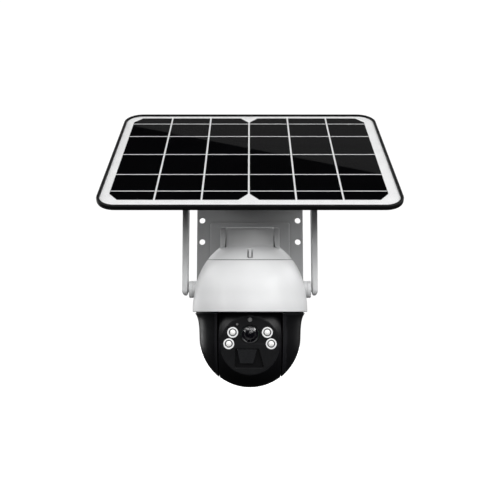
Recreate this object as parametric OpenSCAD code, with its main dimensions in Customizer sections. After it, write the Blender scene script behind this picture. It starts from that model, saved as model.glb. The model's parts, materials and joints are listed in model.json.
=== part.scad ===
// Solar-powered pan-and-tilt security camera on a wall bracket.
// Origin: centre of the wall bolt pattern on the plate's rear face.
// +X to the right seen from the front, -Y away from the wall, +Z up.

/* [Wall plate] */
// Width of the wall plate
plate_w = 127.4; // [120:0.2:136]
// Thickness of the plate's side flanges
plate_t = 5; // [4:0.5:5]
// Distance between the left and right wall holes
bolt_dx = 115.2; // [112:0.2:115.4]
// Distance between the top and bottom wall holes
bolt_dz = 77.8; // [70:0.2:80]
// Height of the middle pair of wall holes above the centre
bolt_mid = 12.9; // [8:0.1:18]
// Radius of a wall hole
bolt_r = 3.5; // [2.5:0.05:3.5]

/* [Hood] */
// Distance from the wall to the dome's upright axis
reach = 95; // [93:1:100]
// Depth of the hood's rim below the mount centre
rim_drop = 71; // [69:1:73]
// Outer radius of the hood's rim band
hood_r = 60; // [60:0.1:60.4]
// Radius of the crown where it leaves the band
crown_r = 59; // [58.8:0.1:59.2]
// Height of the crown's curve
crown_h = 68.5; // [68:0.1:69]
// Wall thickness of the hood
hood_wall = 2.4; // [2.2:0.1:2.5]

/* [Camera head] */
// Radius of the camera ball
ball_r = 52.4; // [52:0.1:52.6]
// Depth of the ball's centre below the rim
ball_drop = 25.2; // [25:0.1:26]
// Half width of the ball between the cheeks
ball_half = 31; // [30.5:0.1:31.2]
// Distance from the ball's centre to its flat face
face_d = 43.5; // [43:0.1:44]
// How far the camera looks down at rest, in degrees
look_down = 10; // [5:1:20]

/* [Solar panel] */
// Width of the solar panel
panel_w = 293.6; // [290:0.2:296]
// Length of the solar panel up its slope
panel_l = 208; // [206:0.5:210]
// Thickness of the panel
panel_t = 5; // [4.8:0.1:5.4]
// Slope of the panel at rest, in degrees
panel_slope = 41.2; // [38:0.1:43]

/* [Antennas] */
// Length of an antenna above its pivot
antenna_len = 88; // [86:1:90]
// Thickness of an antenna
antenna_t = 6; // [6:0.1:8]

/* [Hidden] */
$fn = 64;

black = [0.035, 0.036, 0.04];
white = [0.86, 0.87, 0.88];
grey = [0.62, 0.63, 0.64];
steel = [0.7, 0.71, 0.73];
board_green = [0.05, 0.25, 0.13];

// Places of the main axes
dome_y = -reach;
rim_z = -rim_drop;
ball_z = rim_z - ball_drop;
axis_len = 400;

// Wall plate
plate_top = 82;
plate_bottom = -61;
plate_corner = 6;
pad_t = 3;
pad_half = 47.8;
pad_top = 36;
pad_bottom = -52;
pad_y = -plate_t - pad_t;

// Hood: the crown is an ellipse that stands a little above the rim
band_h = 12;
crown_z = 10;
crown_steps = 22;
seam_h = 55.1;
seam_slope = 4.7;
seam_gap = 0.4;
slot_w = 5.8;
slot_low = 53.1;
slot_high = 63;

// Arm between the plate and the dome
arm_half = 30.7;
arm_top = 87.2;
arm_low = 50;
arm_corner = 2.5;
nose_top = 85;
nose_half = 24.4;
nose_front = 32.5;
shoulder = 19;
arm_entry = 35;
gasket_t = 1;
arm_back = pad_y - gasket_t;
arm_screw_x = 24;
arm_screw_z = [-15, 8];
arm_screw_r = 2;

// Battery
cell_x = 9.6;
battery_y = -36.5;
battery_z = rim_z + 73;

// Hood base, bush, pan gear train
base_low = 37;
base_t = 3;
base_r = 49.8;
boss_ring = 41;
boss_h = 14;
boss_r = 4;
hub_r = 13;
bush_r = 17;
fit = 0.05;
gear_module = 0.8;
pinion_teeth = 16;
pan_teeth = 60;
tilt_teeth = 32;
pan_centre = gear_module * (pan_teeth + pinion_teeth) / 2;
tilt_centre = gear_module * (tilt_teeth + pinion_teeth) / 2;
shaft_r = 1.5;
pan_gear_low = 32.2;
pan_gear_t = 3.4;
hub_top = 44.5;

// Pan deck and cheeks
collar_r = 56.4;
deck_r = 53;
deck_low = 29;
deck_t = 3;
cheek_r = ball_r + 0.3;
cheek_wall = 2.2;
flare = [[56.2, -1.05], [57.2, -1.6], [56, -3.4], [55, -5.8], [54.1, -9], [53.4, -13], [53, -18]];
cover_in = 32.2;
cover_out = 34.4;
bush_in = 31.8;
bush_out = 36;
axle_r = 6;
gear_axle_end = 41.5;
plain_axle_end = 38.6;
tilt_gear_x = 36.6;
tilt_gear_t = 3.4;

// Camera face: places in the plane of the face
lens_up = 11.25;
lens_r = 8.6;
lens_gap = 0.6;
glass_r = 7.85;
glass_curve = 12.5;
glass_low = -0.6;
led_at = [[-16.9, 13], [-20.8, 1.7], [16.9, 13], [20.8, 1.7]];
led_r = 5.3;
led_hole_r = 3.7;
face_r = 28.9;
face_t = 2.4;
sensor_up = 25.6;
status_at = [-12.5, 21];
pir_outer = [[-14.9, -3.2], [8.9, -3.2], [14, -22.4], [-14.9, -22.4]];
pir_inner = [[-12.7, -3.7], [7.1, -3.7], [3, -18], [-9.7, -18]];

// Solar panel: the hinge is at hinge_y, hinge_z, and the panel's top face is hinge_drop above it
panel_y = -104.1;
panel_z = 95.4;
hinge_v = 4.6;
hinge_drop = 19.1;
hinge_y = panel_y + hinge_v * cos(panel_slope) + hinge_drop * sin(panel_slope);
hinge_z = panel_z + hinge_v * sin(panel_slope) - hinge_drop * cos(panel_slope);
frame_corner = 20;
lip = 3;
far_lip = 3.4;
pocket_t = 2.4;
cell_w = 270.2;
cell_l = 185;
cell_gap = 1.8;
cell_cut = [9, 11];
cells_at = [-1.1, 2.2];
ribbon_at = [0.086, 0.264, 0.5, 0.736, 0.914];
ribbon_w = 1.3;
sheet_t = 0.8;
cell_t = 0.3;
ribbon_t = 0.1;
knuckle_r = 9;
knuckle_half = 9;
ear_gap = 0.6;
ear_t = 4;
bolt_shaft = 4;
strut_low = 57;
strut_high = 79;
foot_t = 4;

// Antennas
pivot_h = 23.7;
antenna_x = 65;
antenna_low = 6.5;
antenna_wide = 9;
pivot_pin_r = 3;

// Service hatch under the arm
hatch_w = 36;
hatch_front = -37;
hatch_back = -12.6;
hatch_pin_y = -15;
hatch_pin_z = -19.4;
board_z = -8.6;
button_x = 12;
button_y = -24;
button_r = 2;

// ---------- shared shapes ----------

// Rectangle with round corners, centred
module round_rect(w, h, r) {
  square([w - 2 * r, h], center = true);
  square([w, h - 2 * r], center = true);
  for (x = [-1, 1], y = [-1, 1]) {
    translate([x * (w / 2 - r), y * (h / 2 - r)]) circle(r = r);
  }
}

module slab(w, h, r, t) {
  linear_extrude(height = t) round_rect(w, h, r);
}

module tube(r_out, r_in, h) {
  difference() {
    cylinder(r = r_out, h = h);
    translate([0, 0, -1]) cylinder(r = r_in, h = h + 2);
  }
}

// Turns a shape built along +Z so that it lies along +X
module along_x() {
  rotate([90, 0, 90]) children();
}

// Screw along +Z, with its head on top of z = 0
module screw(r, len, head_r, head_t) {
  translate([0, 0, -len]) cylinder(r = r, h = len);
  difference() {
    cylinder(r = head_r, h = head_t);
    translate([0, 0, head_t / 2]) {
      cube([head_r * 1.3, head_r * 0.28, head_t * 1.01], center = true);
      cube([head_r * 0.28, head_r * 1.3, head_t * 1.01], center = true);
    }
  }
}

// Point on the involute of a circle
function involute(rb, a) = rb * [cos(a) + a * PI / 180 * sin(a), sin(a) - a * PI / 180 * cos(a)];
function turn(p, a) = [p[0] * cos(a) - p[1] * sin(a), p[0] * sin(a) + p[1] * cos(a)];
function flip(p) = [p[0], -p[1]];

// Flat outline of a spur gear, with one tooth centred on +X
module gear_outline(teeth) {
  pressure = 25;
  r = gear_module * teeth / 2;
  base = r * cos(pressure);
  tip = r + 0.8 * gear_module;
  root = r - 1.2 * gear_module;
  half_tooth = 90 / teeth - 3.4 / r;
  swing = tan(pressure) * 180 / PI - pressure;
  last = sqrt(pow(tip / base, 2) - 1) * 180 / PI;
  first = root > base ? sqrt(pow(root / base, 2) - 1) * 180 / PI : 0;
  steps = 3;
  flank = [for (i = [0:steps])
    turn(involute(base, first + (last - first) * i / steps), -half_tooth - swing)];
  foot = root > base ? [] : [turn([root, 0], -half_tooth - swing)];
  tooth = concat(foot, flank, [for (i = [steps:-1:0]) flip(flank[i])], [for (p = foot) flip(p)]);
  polygon([for (k = [0:teeth - 1]) for (p = tooth) turn(p, 360 * k / teeth)]);
}

module gear(teeth, t, bore) {
  difference() {
    linear_extrude(height = t) gear_outline(teeth);
    translate([0, 0, -1]) cylinder(r = bore, h = t + 2);
  }
}

// ---------- frames of reference ----------

// Dome axis, with z = 0 at the hood's rim
module at_dome() {
  translate([0, dome_y, rim_z]) children();
}

// Ball centre with the yoke's directions
module at_ball() {
  translate([0, dome_y, ball_z]) children();
}

// Ball centre with the camera's directions, front along -Y
module at_head() {
  at_ball() rotate([look_down, 0, 0]) children();
}

// Camera face, with +Z out of the face and +Y up
module at_face() {
  at_head() translate([0, -face_d, 0]) rotate([90, 0, 0]) children();
}

// Panel centre on its top face, with +Y up the slope and +Z out of the glass
module at_panel() {
  translate([0, panel_y, panel_z]) rotate([panel_slope, 0, 0]) children();
}

module at_pivot(side) {
  translate([side * antenna_x, dome_y, rim_z + pivot_h]) children();
}

// ---------- wall plate and arm ----------

module wall_holes() {
  for (x = [-1, 1], z = [-bolt_dz / 2, bolt_mid, bolt_dz / 2]) {
    translate([x * bolt_dx / 2, 1, z]) rotate([90, 0, 0]) cylinder(r = bolt_r, h = plate_t + 2);
  }
}

module wall_plate() {
  color(grey) difference() {
    union() {
      translate([0, 0, (plate_top + plate_bottom) / 2]) rotate([90, 0, 0])
        slab(plate_w, plate_top - plate_bottom, plate_corner, plate_t);
      translate([0, -plate_t, (pad_top + pad_bottom) / 2]) rotate([90, 0, 0])
        slab(2 * pad_half, pad_top - pad_bottom, 3, pad_t);
    }
    wall_holes();
    for (x = [-1, 1], z = arm_screw_z) translate([x * arm_screw_x, 0.01, z]) rotate([90, 0, 0]) {
      translate([0, 0, -1]) cylinder(r = arm_screw_r + 0.2, h = 12);
      cylinder(r = 4.2, h = 3);
    }
  }
}

// Side-to-side section of the arm, as a flat shape with its height along +Y
module arm_section(inset) {
  half = arm_half - inset;
  top = rim_z + arm_top - inset;
  low = rim_z + arm_low + inset;
  r = max(arm_corner - inset, 1);
  translate([0, (top + low) / 2]) round_rect(2 * half, top - low, r);
}

module arm_gasket() {
  color(black) translate([0, pad_y, 0]) rotate([90, 0, 0]) linear_extrude(height = gasket_t)
    difference() {
      arm_section(0.4);
      arm_section(2.4);
    }
}

// The crown's outline: shrink makes the inner face, low is where the outline starts
function crown(shrink, low) = [for (i = [0:crown_steps])
  let (a = asin((low - crown_z) / (crown_h - shrink)), t = a + (90 - a) * i / crown_steps)
  [(crown_r - shrink) * cos(t), crown_z + (crown_h - shrink) * sin(t)]];

// The hood's outer shape, grown by a small distance where another part stands on it
module crown_solid(grow = 0) {
  r = hood_r + grow;
  rotate_extrude($fn = 96) polygon(concat(
    [[0, 0], [r, 0], [r, band_h], [r - 0.3, band_h + 0.9]], crown(-grow, band_h + 2)));
}

module crown_cavity() {
  rotate_extrude($fn = 96) polygon(concat(
    [[0, -1], [hood_r - hood_wall, -1], [hood_r - hood_wall, band_h - 2]], crown(hood_wall, band_h)));
}

// Everything above (side = 1) or below (side = -1) the sloping seam, less a gap
module seam_side(side, gap) {
  translate([0, 0, seam_h]) rotate([seam_slope, 0, 0])
    translate([0, 0, side * (axis_len / 2 + gap)]) cube(axis_len, center = true);
}

// The arm and its upright nose, whose front is curved around the dome's axis, drawn in the dome's frame
module arm_block(inset) {
  depth = arm_back - dome_y;
  translate([0, depth, -rim_z]) rotate([90, 0, 0])
    linear_extrude(height = depth + shoulder - inset) arm_section(inset);
  intersection() {
    cylinder(r = nose_front - inset, h = 100, $fn = 96);
    along_x() translate([0, 0, -nose_half + inset]) linear_extrude(height = 2 * (nose_half - inset))
      polygon([
        [-nose_front, arm_low + inset],
        [0, arm_low + inset],
        [0, arm_top - inset],
        [-shoulder, arm_top - inset],
        [-nose_front, nose_top - inset],
      ]);
  }
}

module arm_housing() {
  color(grey) difference() {
    union() {
      at_dome() difference() {
        union() {
          intersection() {
            crown_solid();
            seam_side(1, seam_gap / 2);
          }
          intersection() {
            arm_block(0);
            union() {
              seam_side(1, seam_gap / 2);
              translate([-arm_half - 1, arm_entry + 0.5, arm_low - 1]) cube([2 * arm_half + 2, 80, 50]);
            }
          }
        }
        crown_cavity();
        arm_block(hood_wall);
        translate([0, arm_back - dome_y + 1, -rim_z]) rotate([90, 0, 0])
          linear_extrude(height = 20) arm_section(hood_wall);
        translate([-slot_w / 2, -60, slot_low]) cube([slot_w, 30, slot_high - slot_low]);
      }
      for (x = [-1, 1], z = arm_screw_z) translate([x * arm_screw_x, arm_back, z])
        rotate([90, 0, 0]) cylinder(r = 4.4, h = 10);
    }
    for (x = [-1, 1], z = arm_screw_z) translate([x * arm_screw_x, arm_back + 1, z])
      rotate([90, 0, 0]) cylinder(r = arm_screw_r, h = 9);
    translate([-hatch_w / 2 - 0.3, hatch_front - 0.3, rim_z + arm_low - 1])
      cube([hatch_w + 0.6, hatch_back - hatch_front + 0.3, hood_wall + 2]);
    translate([-hatch_w / 2 - 3, hatch_pin_y, hatch_pin_z]) along_x()
      cylinder(r = 0.8 + fit, h = hatch_w + 6);
    translate([arm_half - hood_wall - 1, -32, -4]) along_x() cylinder(r = 5, h = hood_wall + 2);
  }
}

module arm_screws() {
  color(steel) for (x = [-1, 1], z = arm_screw_z)
    translate([x * arm_screw_x, -2.8, z]) rotate([-90, 0, 0]) screw(arm_screw_r - 0.02, 13, 3.8, 2.2);
}

// ---------- hood ----------

module antenna_hole(side, r) {
  translate([side * 45, 0, pivot_h]) along_x() translate([0, 0, side > 0 ? 0 : -25]) cylinder(r = r, h = 25);
}

module base_places() {
  for (a = [45:90:315]) rotate([0, 0, a]) translate([boss_ring, 0, 0]) children();
}

module hood_shell() {
  color(white) at_dome() difference() {
    union() {
      difference() {
        crown_solid();
        crown_cavity();
      }
      intersection() {
        crown_solid();
        base_places() translate([0, 0, base_low + base_t + 0.05]) cylinder(r = boss_r, h = boss_h);
      }
    }
    seam_side(1, -seam_gap / 2);
    for (side = [-1, 1]) antenna_hole(side, 3.2);
    base_places() translate([0, 0, base_low]) cylinder(r = 1.4, h = 11);
    // Room for the arm, which enters the hood from behind
    translate([-arm_half - 0.4, arm_entry, arm_low - 0.6]) cube([2 * arm_half + 0.8, 60, 30]);
  }
}

module hood_seal() {
  color(black) at_dome() intersection() {
    difference() {
      scale((hood_r - 0.5) / hood_r) crown_solid();
      crown_cavity();
    }
    seam_side(1, -seam_gap / 2 + 0.02);
    seam_side(-1, -seam_gap / 2 + 0.02);
    translate([-60, -60, 0]) cube([120, 60 + arm_entry - 1, 90]);
  }
}

module hood_screw() {
  color(steel) at_dome() translate([0, -35.5, 58.4]) rotate([90, 0, 0]) screw(1.5, 5, 2.5, 2);
}

module hood_base() {
  color(black) at_dome() difference() {
    translate([0, 0, base_low]) cylinder(r = base_r, h = base_t);
    translate([0, 0, base_low - 1]) cylinder(r = bush_r, h = base_t + 2);
    translate([0, pan_centre, base_low - 1]) cylinder(r = 4, h = base_t + 2);
    base_places() translate([0, 0, base_low - 1]) cylinder(r = 1.7, h = base_t + 2);
  }
}

module base_screws() {
  color(steel) at_dome() base_places() translate([0, 0, base_low]) rotate([180, 0, 0])
    screw(1.38, 10, 2.8, 1.6);
}

module pan_bush() {
  color("ivory") at_dome() {
    translate([0, 0, base_low]) tube(bush_r - 0.02, hub_r + fit, base_t);
    translate([0, 0, base_low + base_t]) tube(bush_r + 2, hub_r + fit, 1);
  }
}

// Small geared stepper motor along +Z, with two fixing ears and an open shaft hole at its foot
module stepper(r, h) {
  difference() {
    union() {
      cylinder(r = r, h = h);
      linear_extrude(height = 1) round_rect(2 * r + 10, 7, 3.4);
    }
    translate([0, 0, -1]) cylinder(r = shaft_r + fit, h = h - 1);
    for (x = [-1, 1]) translate([x * (r + 2.2), 0, -1]) cylinder(r = 1.2, h = 3);
  }
}

module pan_motor() {
  color(steel) at_dome() translate([0, pan_centre, base_low + base_t]) stepper(9.5, 12);
}

module pan_pinion() {
  color("ivory") at_dome() translate([0, pan_centre, pan_gear_low]) rotate([0, 0, 180 / pinion_teeth]) {
    linear_extrude(height = pan_gear_t) gear_outline(pinion_teeth);
    cylinder(r = shaft_r, h = base_low + base_t + 9 - pan_gear_low);
  }
}

module main_board() {
  color(board_green) at_dome() {
    translate([0, -3, 54.4]) difference() {
      cylinder(r = 31, h = 1.6);
      translate([0, 0, -1]) cylinder(r = 6, h = 4);
    }
    translate([-12, -24, 56]) cube([24, 14, 2.4]);
    translate([-20, 8, 56]) cube([14, 12, 2]);
    translate([8, 8, 56]) cube([10, 10, 3]);
  }
}

module battery_cells() {
  color("steelblue") for (x = [-cell_x, cell_x])
    translate([x, battery_y, battery_z]) rotate([90, 0, 0]) {
      cylinder(r = 9.2, h = 64);
      translate([0, 0, 64]) cylinder(r = 3, h = 1);
    }
}

module battery_tray() {
  color(black) difference() {
    translate([-20.5, battery_y - 67.5, battery_z - 7.5]) cube([41, 69, 7.5]);
    for (x = [-cell_x, cell_x]) translate([x, battery_y + 0.3, battery_z]) rotate([90, 0, 0])
      cylinder(r = 9.3, h = 66);
    translate([-16, battery_y - 61.5, battery_z - 9]) cube([32, 57, 12]);
  }
}

module charge_socket() {
  color(black) translate([arm_half, -32, -4]) difference() {
    union() {
      along_x() translate([0, 0, -8]) cylinder(r = 4.9, h = 9);
      along_x() cylinder(r = 6.5, h = 3.5);
    }
    along_x() translate([0, 0, -5]) cylinder(r = 2.8, h = 10);
  }
}

// ---------- service hatch ----------

module service_board() {
  color(board_green) {
    translate([-18, -34, board_z]) cube([36, 17, 1.4]);
    // Card reader, with its slot open to the front
    difference() {
      translate([-7.5, -33, board_z - 3.2]) cube([15, 15, 3.2]);
      translate([-6, -34, board_z - 2.6]) cube([12, 14, 1.4]);
    }
    // Switches that the buttons press
    for (x = [-button_x, button_x]) translate([x, button_y, board_z - 2.6]) difference() {
      translate([-3, -3, 0]) cube([6, 6, 2.6]);
      translate([0, 0, -1]) cylinder(r = button_r + fit, h = 3);
    }
  }
}

module button(x) {
  translate([x, button_y, board_z - 4]) cylinder(r = button_r, h = 2.4);
}

module reset_button() {
  color("firebrick") button(-button_x);
}

module power_button() {
  color(steel) button(button_x);
}

module service_cover() {
  color(black) {
    translate([-hatch_w / 2, hatch_front, rim_z + arm_low])
      cube([hatch_w, hatch_pin_y - hatch_front, 2]);
    translate([-hatch_w / 2, hatch_pin_y, hatch_pin_z]) along_x() cylinder(r = 1.6, h = hatch_w);
    translate([-hatch_w / 2 - 2.4, hatch_pin_y, hatch_pin_z]) along_x() cylinder(r = 0.8, h = hatch_w + 4.8);
  }
}

// ---------- pan yoke ----------

module pan_deck() {
  color(black) at_dome() rotate_extrude($fn = 96) polygon([
    [collar_r, -1], [collar_r, 9], [deck_r, 13], [deck_r, deck_low + deck_t],
    [hub_r, deck_low + deck_t], [hub_r, hub_top], [hub_r - 4, hub_top], [hub_r - 4, deck_low],
    [deck_r - 2.2, deck_low], [deck_r - 2.2, 12], [collar_r - 2.2, 8], [collar_r - 2.2, -1]]);
}

module pan_gear() {
  color("ivory") at_dome() translate([0, 0, pan_gear_low - 0.15]) gear(pan_teeth, pan_gear_t, hub_r + 0.02);
}

// Outline of a cheek below the collar, and its tongue inside the collar
module cheek_profile(inset) {
  r = cheek_r - inset;
  polygon(concat(
    [[0, 24], [deck_r - 2.6 - inset, 24], [deck_r - 2.6 - inset, 0], [deck_r - 2.6 - inset, -1.2]],
    inset > 0 ? [] : flare,
    [for (i = [0:14]) let (a = -90 * i / 14) [r * cos(a), r * sin(a) - ball_drop]]));
}

module cheek_solid(inset) {
  rotate_extrude($fn = 96) cheek_profile(inset);
}

// Keeps what lies between two distances from the middle on one side
module between_x(side, near, far) {
  intersection() {
    children();
    translate([side > 0 ? near : -far, -90, -120]) cube([far - near, 180, 180]);
  }
}

module cheek(side) {
  color(black) at_dome() difference() {
    between_x(side, cover_out + 0.02, 70) difference() {
      cheek_solid(0);
      cheek_solid(cheek_wall);
    }
    // Sound holes on the speaker's side
    if (side > 0) {
      for (i = [-2:2], j = [-1:1]) translate([40, i * 4, j * 4 - ball_drop - 4])
        along_x() cylinder(r = 0.8, h = 20);
    }
  }
}

module cheek_cover(side) {
  color(black) at_dome() difference() {
    between_x(side, cover_in, cover_out) cheek_solid(0);
    translate([-60, 0, -ball_drop]) along_x() cylinder(r = 8.52, h = 120);
  }
}

module cheek_left() { cheek(-1); }
module cheek_right() { cheek(1); }
module cheek_cover_left() { cheek_cover(-1); }
module cheek_cover_right() { cheek_cover(1); }

module tilt_bushes() {
  color("ivory") at_ball() for (side = [-1, 1])
    translate([side > 0 ? bush_in : -bush_out, 0, 0]) along_x() tube(8.5, axle_r + fit, bush_out - bush_in);
}

module tilt_motor() {
  color(steel) at_ball() translate([-tilt_gear_x - tilt_gear_t - 1, 0, tilt_centre]) rotate([0, 0, 180])
    along_x() stepper(9, 6);
}

module tilt_pinion() {
  color("ivory") at_ball() translate([-tilt_gear_x - tilt_gear_t, 0, tilt_centre]) {
    along_x() rotate([0, 0, 180 / pinion_teeth]) linear_extrude(height = tilt_gear_t)
      gear_outline(pinion_teeth);
    translate([-4.6, 0, 0]) along_x() cylinder(r = shaft_r, h = 5);
  }
}

module speaker() {
  color("dimgray") at_ball() translate([42.6, 0, -4]) along_x() {
    tube(12, 10.4, 3);
    cylinder(r = 10.4, h = 1);
    translate([0, 0, -3.4]) cylinder(r = 6, h = 3.4);
  }
}

// ---------- camera head ----------

module ball_slice(r, half) {
  intersection() {
    sphere(r = r, $fn = 96);
    cube([2 * half, 3 * r, 3 * r], center = true);
  }
}

module ball_body() {
  difference() {
    union() {
      difference() {
        ball_slice(ball_r, ball_half);
        ball_slice(ball_r - 2.4, ball_half - 2.4);
      }
      // Ledge behind the face plate
      intersection() {
        ball_slice(ball_r, ball_half);
        translate([0, -face_d + face_t, 0]) rotate([-90, 0, 0]) tube(32, 25, 2);
      }
    }
    translate([0, -face_d, 0]) rotate([90, 0, 0]) cylinder(r = 60, h = 20);
    translate([0, -face_d + face_t, 0]) rotate([90, 0, 0]) cylinder(r = face_r + 0.05, h = 20);
    translate([-60, 0, 0]) along_x() cylinder(r = axle_r + 0.02, h = 120);
  }
}

module ball_half_shell(front) {
  intersection() {
    ball_body();
    translate([-60, front ? -120.06 : 0.06, -60]) cube(120);
  }
}

module ball_front() {
  color(black) at_head() ball_half_shell(true);
}

module ball_rear() {
  color(black) at_head() ball_half_shell(false);
}

module tilt_axle(end) {
  along_x() translate([0, 0, ball_half - 4.6]) {
    tube(9, 3.5, 2.1);
    tube(axle_r, 3.5, end - ball_half + 4.6);
  }
}

module tilt_axles() {
  color(steel) at_head() {
    tilt_axle(plain_axle_end);
    rotate([0, 0, 180]) tilt_axle(gear_axle_end);
  }
}

module tilt_gear() {
  color("ivory") at_ball() translate([-tilt_gear_x - tilt_gear_t, 0, 0]) along_x()
    gear(tilt_teeth, tilt_gear_t, axle_r + 0.02);
}

module face_plate() {
  color(black) at_face() difference() {
    translate([0, 0, -face_t + 0.05]) cylinder(r = face_r, h = face_t - 0.05);
    translate([0, lens_up, -5]) cylinder(r = lens_r + lens_gap, h = 10);
    for (p = led_at) translate([p[0], p[1], -5]) cylinder(r = led_r + 0.05, h = 10);
    translate([0, sensor_up, -5]) cylinder(r = 2.3, h = 10);
    translate([status_at[0], status_at[1], -5]) cylinder(r = 1.2, h = 10);
    translate([0, 0, -5]) linear_extrude(height = 10) polygon(pir_outer);
  }
}

module lens_barrel() {
  color(black) at_face() translate([0, lens_up, 0]) difference() {
    union() {
      translate([0, 0, -16]) cylinder(r = 7.4, h = 16);
      translate([0, 0, -face_t]) cylinder(r = lens_r, h = face_t + 1);
    }
    translate([0, 0, -17]) cylinder(r = 4.6, h = 30);
    translate([0, 0, -3.4]) cylinder(r1 = 5.2, r2 = 6.8, h = 3.4);
    translate([0, 0, glass_low]) cylinder(r = glass_r + 0.02, h = 4);
  }
}

module lens_glass() {
  color([0.25, 0.3, 0.4, 0.5]) at_face() translate([0, lens_up, glass_low]) intersection() {
    cylinder(r = glass_r, h = 5);
    translate([0, 0, 0.8 - sqrt(pow(glass_curve, 2) - pow(glass_r, 2))]) sphere(r = glass_curve, $fn = 96);
  }
}

module image_sensor() {
  color("dimgray") at_face() translate([0, lens_up, -19.2]) {
    translate([-9, -9, 0]) cube([18, 18, 1.6]);
    translate([-4, -4, 1.6]) cube([8, 8, 1]);
  }
}

module led_rings() {
  color("whitesmoke") at_face() for (p = led_at)
    translate([p[0], p[1], -face_t]) tube(led_r, led_hole_r, face_t + 0.1);
}

module led_lamps() {
  color("lightyellow") at_face() for (p = led_at) translate([p[0], p[1], -face_t - 1.6]) {
    cylinder(r = 2.8, h = 3.2);
    intersection() {
      translate([0, 0, 0.4]) sphere(r = 3.95, $fn = 96);
      cylinder(r = 2.8, h = 5);
    }
  }
}

module light_sensor() {
  color("gray") at_face() translate([0, sensor_up, -face_t]) cylinder(r = 2.25, h = face_t - 0.2);
}

module status_lamp() {
  color("gray") at_face() translate([status_at[0], status_at[1], -face_t])
    cylinder(r = 1.15, h = face_t - 0.2);
}

module pir_lens() {
  color([0.06, 0.06, 0.065]) at_face() {
    translate([0, 0, -face_t]) linear_extrude(height = face_t - 0.9) moved_in(pir_outer, 0.1);
    translate([0, 0, -1.2]) linear_extrude(height = 1) polygon(pir_inner);
  }
}

// The four-cornered outline moved in by a small distance towards its middle
module moved_in(points, d) {
  mid = [for (k = [0, 1]) (points[0][k] + points[1][k] + points[2][k] + points[3][k]) / 4];
  polygon([for (p = points) p + [sign(mid[0] - p[0]) * d, sign(mid[1] - p[1]) * d]]);
}

module head_board() {
  color(board_green) at_face() translate([0, 0, -face_t - 3.4]) difference() {
    cylinder(r = 24, h = 1.6);
    translate([0, lens_up, -1]) cylinder(r = 8, h = 4);
  }
}

// ---------- solar panel ----------

module border(inset, t) {
  translate([0, (lip - far_lip) / 2, 0])
    slab(panel_w - 2 * lip - 2 * inset, panel_l - lip - far_lip - 2 * inset, frame_corner - lip - inset, t);
}

module panel_frame() {
  color(black) at_panel() difference() {
    translate([0, 0, -panel_t]) slab(panel_w, panel_l, frame_corner, panel_t);
    translate([0, 0, -pocket_t]) border(0, pocket_t + 1);
  }
}

module panel_backsheet() {
  color(white) at_panel() translate([0, 0, -pocket_t]) border(0.1, sheet_t);
}

// One of the six cell strips: the strips at each end of a block of three have a cut corner
module cell_strip(k) {
  w = cell_w / 6 - cell_gap;
  x = (k - 2.5) * cell_w / 6;
  h = cell_l / 2;
  left = k % 3 == 0;
  right = k % 3 == 2;
  cl = left ? cell_cut : [0.01, 0.01];
  cr = right ? cell_cut : [0.01, 0.01];
  translate([x, 0]) polygon([
    [-w / 2, -h + cl[1]], [-w / 2 + cl[0], -h], [w / 2 - cr[0], -h], [w / 2, -h + cr[1]],
    [w / 2, h - cr[1]], [w / 2 - cr[0], h], [-w / 2 + cl[0], h], [-w / 2, h - cl[1]]]);
}

module solar_cells() {
  color([0.012, 0.013, 0.02]) at_panel() translate([cells_at[0], cells_at[1], -pocket_t + sheet_t])
    for (k = [0:5]) linear_extrude(height = cell_t) cell_strip(k);
}

module cell_ribbons() {
  color("gainsboro") at_panel() translate([cells_at[0], cells_at[1], -pocket_t + sheet_t + cell_t])
    for (f = ribbon_at) translate([-cell_w / 2 + 2, (f - 0.5) * cell_l - ribbon_w / 2, 0])
      cube([cell_w - 4, ribbon_w, ribbon_t]);
}

module panel_glass() {
  color([0.6, 0.7, 0.8, 0.3]) at_panel() translate([0, 0, -pocket_t + sheet_t + cell_t + ribbon_t])
    border(0.1, pocket_t - sheet_t - cell_t - ribbon_t - 0.1);
}

// Slice that carries the hinge ears, as a flat shape with the slope along X and the height along Y
module ear_shape() {
  circle(r = knuckle_r);
  translate([-knuckle_r, 0]) square([2 * knuckle_r, hinge_drop - panel_t - 2.4]);
}

module panel_bracket() {
  color(steel) at_panel() translate([0, hinge_v, 0]) difference() {
    union() {
      translate([0, 0, -panel_t - 2.5]) slab(64, 56, 6, 2.5);
      for (side = [-1, 1]) translate([side > 0 ? knuckle_half + ear_gap : -knuckle_half - ear_gap - ear_t,
                                      0, -hinge_drop]) along_x() linear_extrude(height = ear_t) ear_shape();
    }
    translate([-30, 0, -hinge_drop]) along_x() cylinder(r = bolt_shaft + fit, h = 60);
    for (x = [-25, 25], y = [-21, 21]) translate([x, y, -panel_t - 4]) cylinder(r = 1.8, h = 5);
  }
}

module bracket_screws() {
  color(steel) at_panel() translate([0, hinge_v, -panel_t - 2.5]) for (x = [-25, 25], y = [-21, 21])
    translate([x, y, 0]) rotate([180, 0, 0]) screw(1.6, 2.4, 3.2, 1.8);
}

module junction_box() {
  color(black) at_panel() translate([0, 64, -panel_t]) difference() {
    union() {
      translate([0, 0, -13]) slab(50, 36, 4, 13);
      translate([0, 0, -14.5]) slab(46, 32, 3, 1.5);
      translate([24, 0, -6.5]) along_x() cylinder(r = 5, h = 7);
    }
    translate([0, 0, -11]) slab(46, 32, 3, 9);
    translate([20, 0, -6.5]) along_x() cylinder(r = 2.4, h = 20);
  }
}

// ---------- strut that carries the panel ----------

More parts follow.
